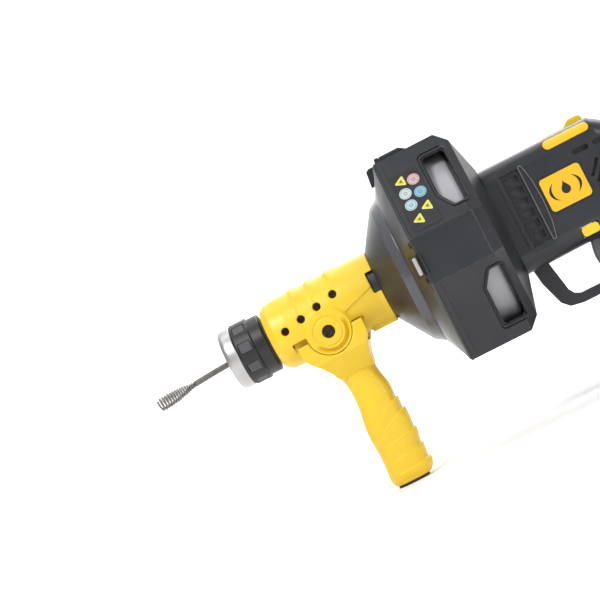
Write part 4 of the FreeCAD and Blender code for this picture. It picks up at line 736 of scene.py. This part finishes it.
def emblem_parts():
    """Two facing brackets and a water drop between them."""
    parts = []
    for sign in (-1, 1):
        pairs = []
        for i in range(17):
            turn = math.radians(-52 + 104 * i / 16)
            thick = 0.6 + 2.2 * math.sin(math.pi * i / 16)
            x, level = 16.8 * math.cos(turn), 11.5 * math.sin(turn)
            pairs.append(((sign * (x - thick), level), (sign * x, level)))
        parts.append(pairs)
    drop = []
    for i in range(15):
        level = 8.0 - 14.0 * i / 14
        if level > -1.4:
            half = 0.1 + 4.5 * smoothstep(8.0, -1.4, level)
        else:
            half = math.sqrt(max(0.01, 4.6**2 - (level + 1.4) ** 2))
        drop.append(((-half, level), (half, level)))
    parts.append(drop)
    return parts


def rounded_path(corners, radius, steps=6):
    """Closed outline through flat corners, each one rounded."""
    points = []
    count = len(corners)
    for i, corner in enumerate(corners):
        here = Vector(corner)
        before, after = Vector(corners[i - 1]) - here, Vector(corners[(i + 1) % count]) - here
        reach = radius / math.tan(before.angle(after) / 2)
        start, end = here + before.normalized() * reach, here + after.normalized() * reach
        for k in range(steps + 1):
            t = k / steps
            points.append(start * (1 - t) ** 2 + here * 2 * t * (1 - t) + end * t * t)
    return [tuple(point) for point in points]


def closed_wire(points, flat_normal, radius, sides):
    """Round bead along a closed flat outline."""
    vertices, faces = [], []
    count = len(points)
    for i, point in enumerate(points):
        along = (points[(i + 1) % count] - points[i - 1]).normalized()
        across = along.cross(flat_normal).normalized()
        for k in range(sides):
            turn = 2 * math.pi * k / sides
            vertices.append(point + (flat_normal * math.cos(turn) + across * math.sin(turn)) * radius)
    for i in range(count):
        for k in range(sides):
            a, b = i * sides + k, i * sides + (k + 1) % sides
            c, d = (i + 1) % count * sides + (k + 1) % sides, (i + 1) % count * sides + k
            faces.append((a, b, c, d))
    return vertices, faces


def add_bead(name, points, flat_normal, radius, slot):
    bead = new_object(name, mesh_from(name, *closed_wire(points, flat_normal, radius * MM, 10)))
    shade_smooth(bead.data)
    dress(bead, "root", slot)


WINDOW_FACE = 104.9
FACETS = {"left_upper": (60, 1), "right_upper": (-60, -1), "left_lower": (120, -1), "right_lower": (-120, 1)}


def facet_point(turn, x, y, height):
    """Place on a slanting facet of the drum housing, from its own flat place and height in mm."""
    cosine, sine = math.cos(math.radians(turn)), math.sin(math.radians(turn))
    return Vector((x, y * cosine - height * sine, AXIS_MM + y * sine + height * cosine)) * MM


for facet, (turn, sign) in FACETS.items():
    front, rear, low, high = 15.6, 42.4, -21.5 * sign, 44.6 * sign
    corners = [(front, high), (rear, high), (rear, low), (front + 10.5, low), (front, low + 18 * sign)]
    outline = rounded_path(corners, 4.5)
    outward = facet_point(turn, 0, 0, 1) - facet_point(turn, 0, 0, 0)
    rim = [facet_point(turn, x, y, WINDOW_FACE) for x, y in outline]
    add_bead(f"window_rim_{facet}", rim, outward.normalized(), 1.35, "black_plastic")

EIGHT_SIDES = ((-61.2, 106.0), (61.2, 106.0), (109.0, 23.2), (109.0, -23.2), (61.2, -106.0), (-61.2, -106.0),
               (-109.0, -23.2), (-109.0, 23.2))
RIM_LINES = (
    ("front_rim_bead", -25.6, 0.9, "dark_plastic"),
    ("shell_seam_line", -19.5, 0.35, "black_plastic"),
)
for name, x, radius, slot in RIM_LINES:
    around = [Vector((x, y, AXIS_MM + level)) * MM for y, level in rounded_path(EIGHT_SIDES, 3.0)]
    add_bead(name, around, Vector((1, 0, 0)), radius, slot)


def turned_band(name, profile, steps=120):
    """Ring about the tool's axis from a closed outline of X and radius in mm."""
    vertices, faces = [], []
    count = len(profile)
    for i in range(steps):
        turn = 2 * math.pi * i / steps
        vertices += [Vector((x, r * math.cos(turn), AXIS_MM + r * math.sin(turn))) * MM for x, r in profile]
        for k in range(count):
            a, b = i * count + k, i * count + (k + 1) % count
            shift = ((i + 1) % steps - i) * count
            faces.append((a, a + shift, b + shift, b))
    band = new_object(name, mesh_from(name, vertices, faces))
    shade_smooth(band.data)
    band.modifiers.new("normals", "WEIGHTED_NORMAL")
    return band


# Thin ring standing just off the cone's band, lighter grey than the cone and clear-coated: a painted highlight
# where the band catches the light.
BAND_PROFILE = [(-50.6, 72.0), (-50.6, 72.6), (-49.6, 73.4), (-41.6, 78.6), (-40.4, 79.1), (-40.4, 78.4)]
cone_band = turned_band("cone_band", BAND_PROFILE)
painted_highlight_finish = moulded_plastic("band_painted_highlight", (0.07, 0.073, 0.086), 0.28, 1900, 0.015, 0.1, coat=0.3)
cone_band.data.materials.append(painted_highlight_finish)
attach(cone_band, "root")

for side, sign in (("left", -1), ("right", 1)):
    for place, level in (("upper", 23.2), ("lower", -23.2)):
        y_low, y_high = sorted((sign * 107.6, sign * 109.25))
        z = AXIS_MM + level
        ridge = rounded_box(f"side_ridge_{place}_{side}", (-24.0, y_low, z - 0.9), (37.0, y_high, z + 0.9), 0.5)
        dress(ridge, "root", "dark_plastic")
    for i, level in enumerate((-16.0, -5.5, 5.5, 16.0)):
        y_low, y_high = sorted((sign * 84.0, sign * 101.5))
        z = AXIS_MM + level
        rib = rounded_box(f"side_gusset_{i}_{side}", (36.0, y_low, z - 1.1), (45.5, y_high, z + 1.1), 0.6)
        dress(rib, "root", "dark_plastic")


# ---- battery ribs, charge lamps and rear slats ----

RIB_PITCH, LAMP_PITCH, SLAT_PITCH = 4.6, 7.2, 6.4
for side, sign in (("left", -1), ("right", 1)):
    for i in range(5):
        y_low, y_high = sorted((sign * 36.8, sign * 38.5))
        z_low = 5.0 + RIB_PITCH * i
        rib = rounded_box(f"battery_rib_{i}_{side}", (146.0, y_low, z_low), (226.0, y_high, z_low + 2.2), 0.6)
        dress(rib, "battery", "dark_plastic")
for i in range(4):
    lamp = rounded_box(f"charge_lamp_{i}", (234.6, -13.5 + LAMP_PITCH * i, 18.0),
                       (235.9, -8.1 + LAMP_PITCH * i, 21.0), 0.5)
    dress(lamp, "battery", "grey_plastic")
rear_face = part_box("motor_housing_left")[1].x / MM
for i in range(7):
    level = -21.0 + SLAT_PITCH * i
    half = 24.0 - 0.035 * (level + 1.8) ** 2
    slat = rounded_box(f"rear_slat_{i}", (rear_face - 1.6, -half, AXIS_MM + level - 1.2),
                       (rear_face + 0.7, half, AXIS_MM + level + 1.2), 0.7)
    dress(slat, "root", "black_plastic")


# ---- emblem, latch bars, vents and their backings ----

PLATE_X, PLATE_LEVEL, PLATE_FACE = 130.0, 2.25, 45.18
ROUND_VENT_X, ROUND_VENT_LEVEL, ROUND_VENT_RADIUS = 171.5, 1, 16.2
for side, sign in (("left", -1), ("right", 1)):
    vertices, faces = [], []
    for pairs in emblem_parts():
        part_vertices, part_faces = plate_strip(pairs, 0.14)
        start = len(vertices)
        vertices += [Vector((PLATE_X + x, sign * (PLATE_FACE + y), AXIS_MM + PLATE_LEVEL + level)) * MM
                     for x, y, level in part_vertices]
        faces += [tuple(start + k for k in face) for face in part_faces]
    emblem = new_object(f"plate_emblem_{side}", mesh_from(f"plate_emblem_{side}", vertices, faces))
    dress(emblem, "root", "black_plastic")

    bar = rounded_box(f"latch_bar_{side}", (-33.6, min(sign * 109.0, sign * 113.6), 178.5),
                      (-29.8, max(sign * 109.0, sign * 113.6), 196.5), 0.9)
    dress(bar, f"latch_{side}", "drum_plastic")

    bow = rounded_path([(97.2, -37.5), (100.5, -37.0), (104.0, -20.0), (105.2, 2.0),
                        (104.0, 24.0), (100.5, 41.0), (97.2, 41.5)], 1.2)
    bow_points = [Vector((x, sign * 45.5, AXIS_MM + level)) * MM for x, level in bow]
    count = len(bow_points)
    lifted = [point + Vector((0, sign * 0.3 * MM, 0)) for point in bow_points]
    walls = [(k, (k + 1) % count, count + (k + 1) % count, count + k) for k in range(count)]
    ends = [tuple(range(count)), tuple(range(count, 2 * count))]
    lid = mesh_from(f"vent_bow_{side}", bow_points + lifted, walls + ends)
    outward_lid = bmesh.new()
    outward_lid.from_mesh(lid)
    bmesh.ops.recalc_face_normals(outward_lid, faces=outward_lid.faces)
    outward_lid.to_mesh(lid)
    outward_lid.free()
    dress(new_object(f"vent_bow_{side}", lid), "root", "black_plastic")
    add_bead(f"vent_rim_line_{side}", lifted, Vector((0, 1, 0)), 0.5, "grey_plastic")
    circle = [Vector((ROUND_VENT_X + x, sign * 43.1, AXIS_MM + ROUND_VENT_LEVEL + level)) * MM
              for x, level in outline_points(64, ROUND_VENT_RADIUS)]
    add_bead(f"round_vent_rim_{side}", circle, Vector((0, 1, 0)), 0.75, "grey_plastic")

    near, far = sorted((sign * 36.6, sign * 37.4))
    for name, low_x, high_x, low_level, high_level in (
        ("slot_backing", 148, 190, -18, 36), ("vent_backing", 75, 98, -38, 42),
    ):
        backing = rounded_box(f"{name}_{side}", (low_x, near, AXIS_MM + low_level),
                              (high_x, far, AXIS_MM + high_level), 0.2)
        dress(backing, "root", "inner_plastic")


# ---- edges of the CAD pieces ----

EDGE_WIDTHS = {
    "motor_housing_left": 0.7, "motor_housing_right": 0.7,
    "feed_collar": 0.6, "nose_ring": 0.5, "collar_grip_pads": 0.5,
    "name_plates": 0.5, "side_trims": 0.5,
    "speed_slider": 0.8, "direction_button": 0.8, "trigger": 0.6, "battery_case": 0.8,
    "battery_lid": 0.5, "battery_button": 0.6, "latch_left": 0.3, "latch_right": 0.3, "handle_foot_pad": 0.6,
    "handle_bolt": 0.4, "handle_nut": 0.4,
    "nose_screws": 0.3, "drum_housing_screws": 0.3, "housing_screws": 0.3,
    "icon_label": 0.12, "drum_front": 0.5, "drum_rear": 0.5, "nose_core": 0.3, "guide_tube": 0.3,
}
for node, width in EDGE_WIDTHS.items():
    soft_edges(node, width * MM)


# ---- floor and light ----


FLOOR_REACH, WALL_TOP = 12.0, 7.0
BEND_START, BEND_RADIUS, BEND_STEPS = 2.5, 1.5, 12


def sweep_floor():
    """Pale floor that rises behind the tool in one smooth bend."""
    vertices, faces = [], []
    profile = [(-FLOOR_REACH, 0.0), (BEND_START, 0.0)]
    for i in range(1, BEND_STEPS + 1):
        bend = math.pi / 2 * i / BEND_STEPS
        profile.append((BEND_START + BEND_RADIUS * math.sin(bend), BEND_RADIUS * (1 - math.cos(bend))))
    profile.append((BEND_START + BEND_RADIUS, WALL_TOP))
    for y, z in profile:
        vertices += [(-FLOOR_REACH, y, z), (FLOOR_REACH, y, z)]
    for i in range(len(profile) - 1):
        faces.append((2 * i, 2 * i + 1, 2 * i + 3, 2 * i + 2))
    mesh = mesh_from("floor", vertices, faces)
    shade_smooth(mesh)
    return new_object("floor", mesh)


floor = sweep_floor()
floor_material, tree, bsdf, place = base_material("pale_floor")
floor_tone = blend_colors(tree, noise(tree, place, 3, 3), (0.90, 0.90, 0.90), (0.93, 0.93, 0.93))
tree.links.new(floor_tone, bsdf.inputs["Base Color"])
bsdf.inputs["Roughness"].default_value = 0.9
bsdf.inputs["Specular IOR Level"].default_value = 0.1
floor.data.materials.append(floor_material)


def soft_light(name, place, aim, size, power):
    data = bpy.data.lights.new(name, "AREA")
    data.shape = "RECTANGLE"
    data.size, data.size_y = size
    data.energy = power
    light = new_object(name, data)
    facing = (Vector(aim) - Vector(place)).to_track_quat("-Z", "Y").to_matrix().to_4x4()
    light.matrix_world = Matrix.Translation(place) @ facing


soft_light("key", (-0.9, -1.4, 1.7), (-0.05, 0, 0.2), (0.8, 0.8), 34)
soft_light("side", (1.4, -1.5, 0.7), (0.0, 0, 0.2), (0.4, 1.4), 12)
soft_light("overhead", (0.0, 0.3, 1.8), (0.0, 0, 0.2), (2.4, 0.8), 11)
soft_light("floor_fill", (0.6, 1.4, 1.4), (0.5, 1.25, 0.0), (1.8, 1.4), 24)
soft_light("backdrop", (0.0, 2.0, 2.4), (0.0, 4.0, 0.3), (6.0, 0.8), 120)

world = bpy.data.worlds.new("studio")
world.use_nodes = True
world.node_tree.nodes["Background"].inputs["Color"].default_value = (1.0, 1.0, 1.0, 1.0)
world.node_tree.nodes["Background"].inputs["Strength"].default_value = 0.42
bpy.context.scene.world = world
bpy.context.scene.view_settings.view_transform = "Standard"
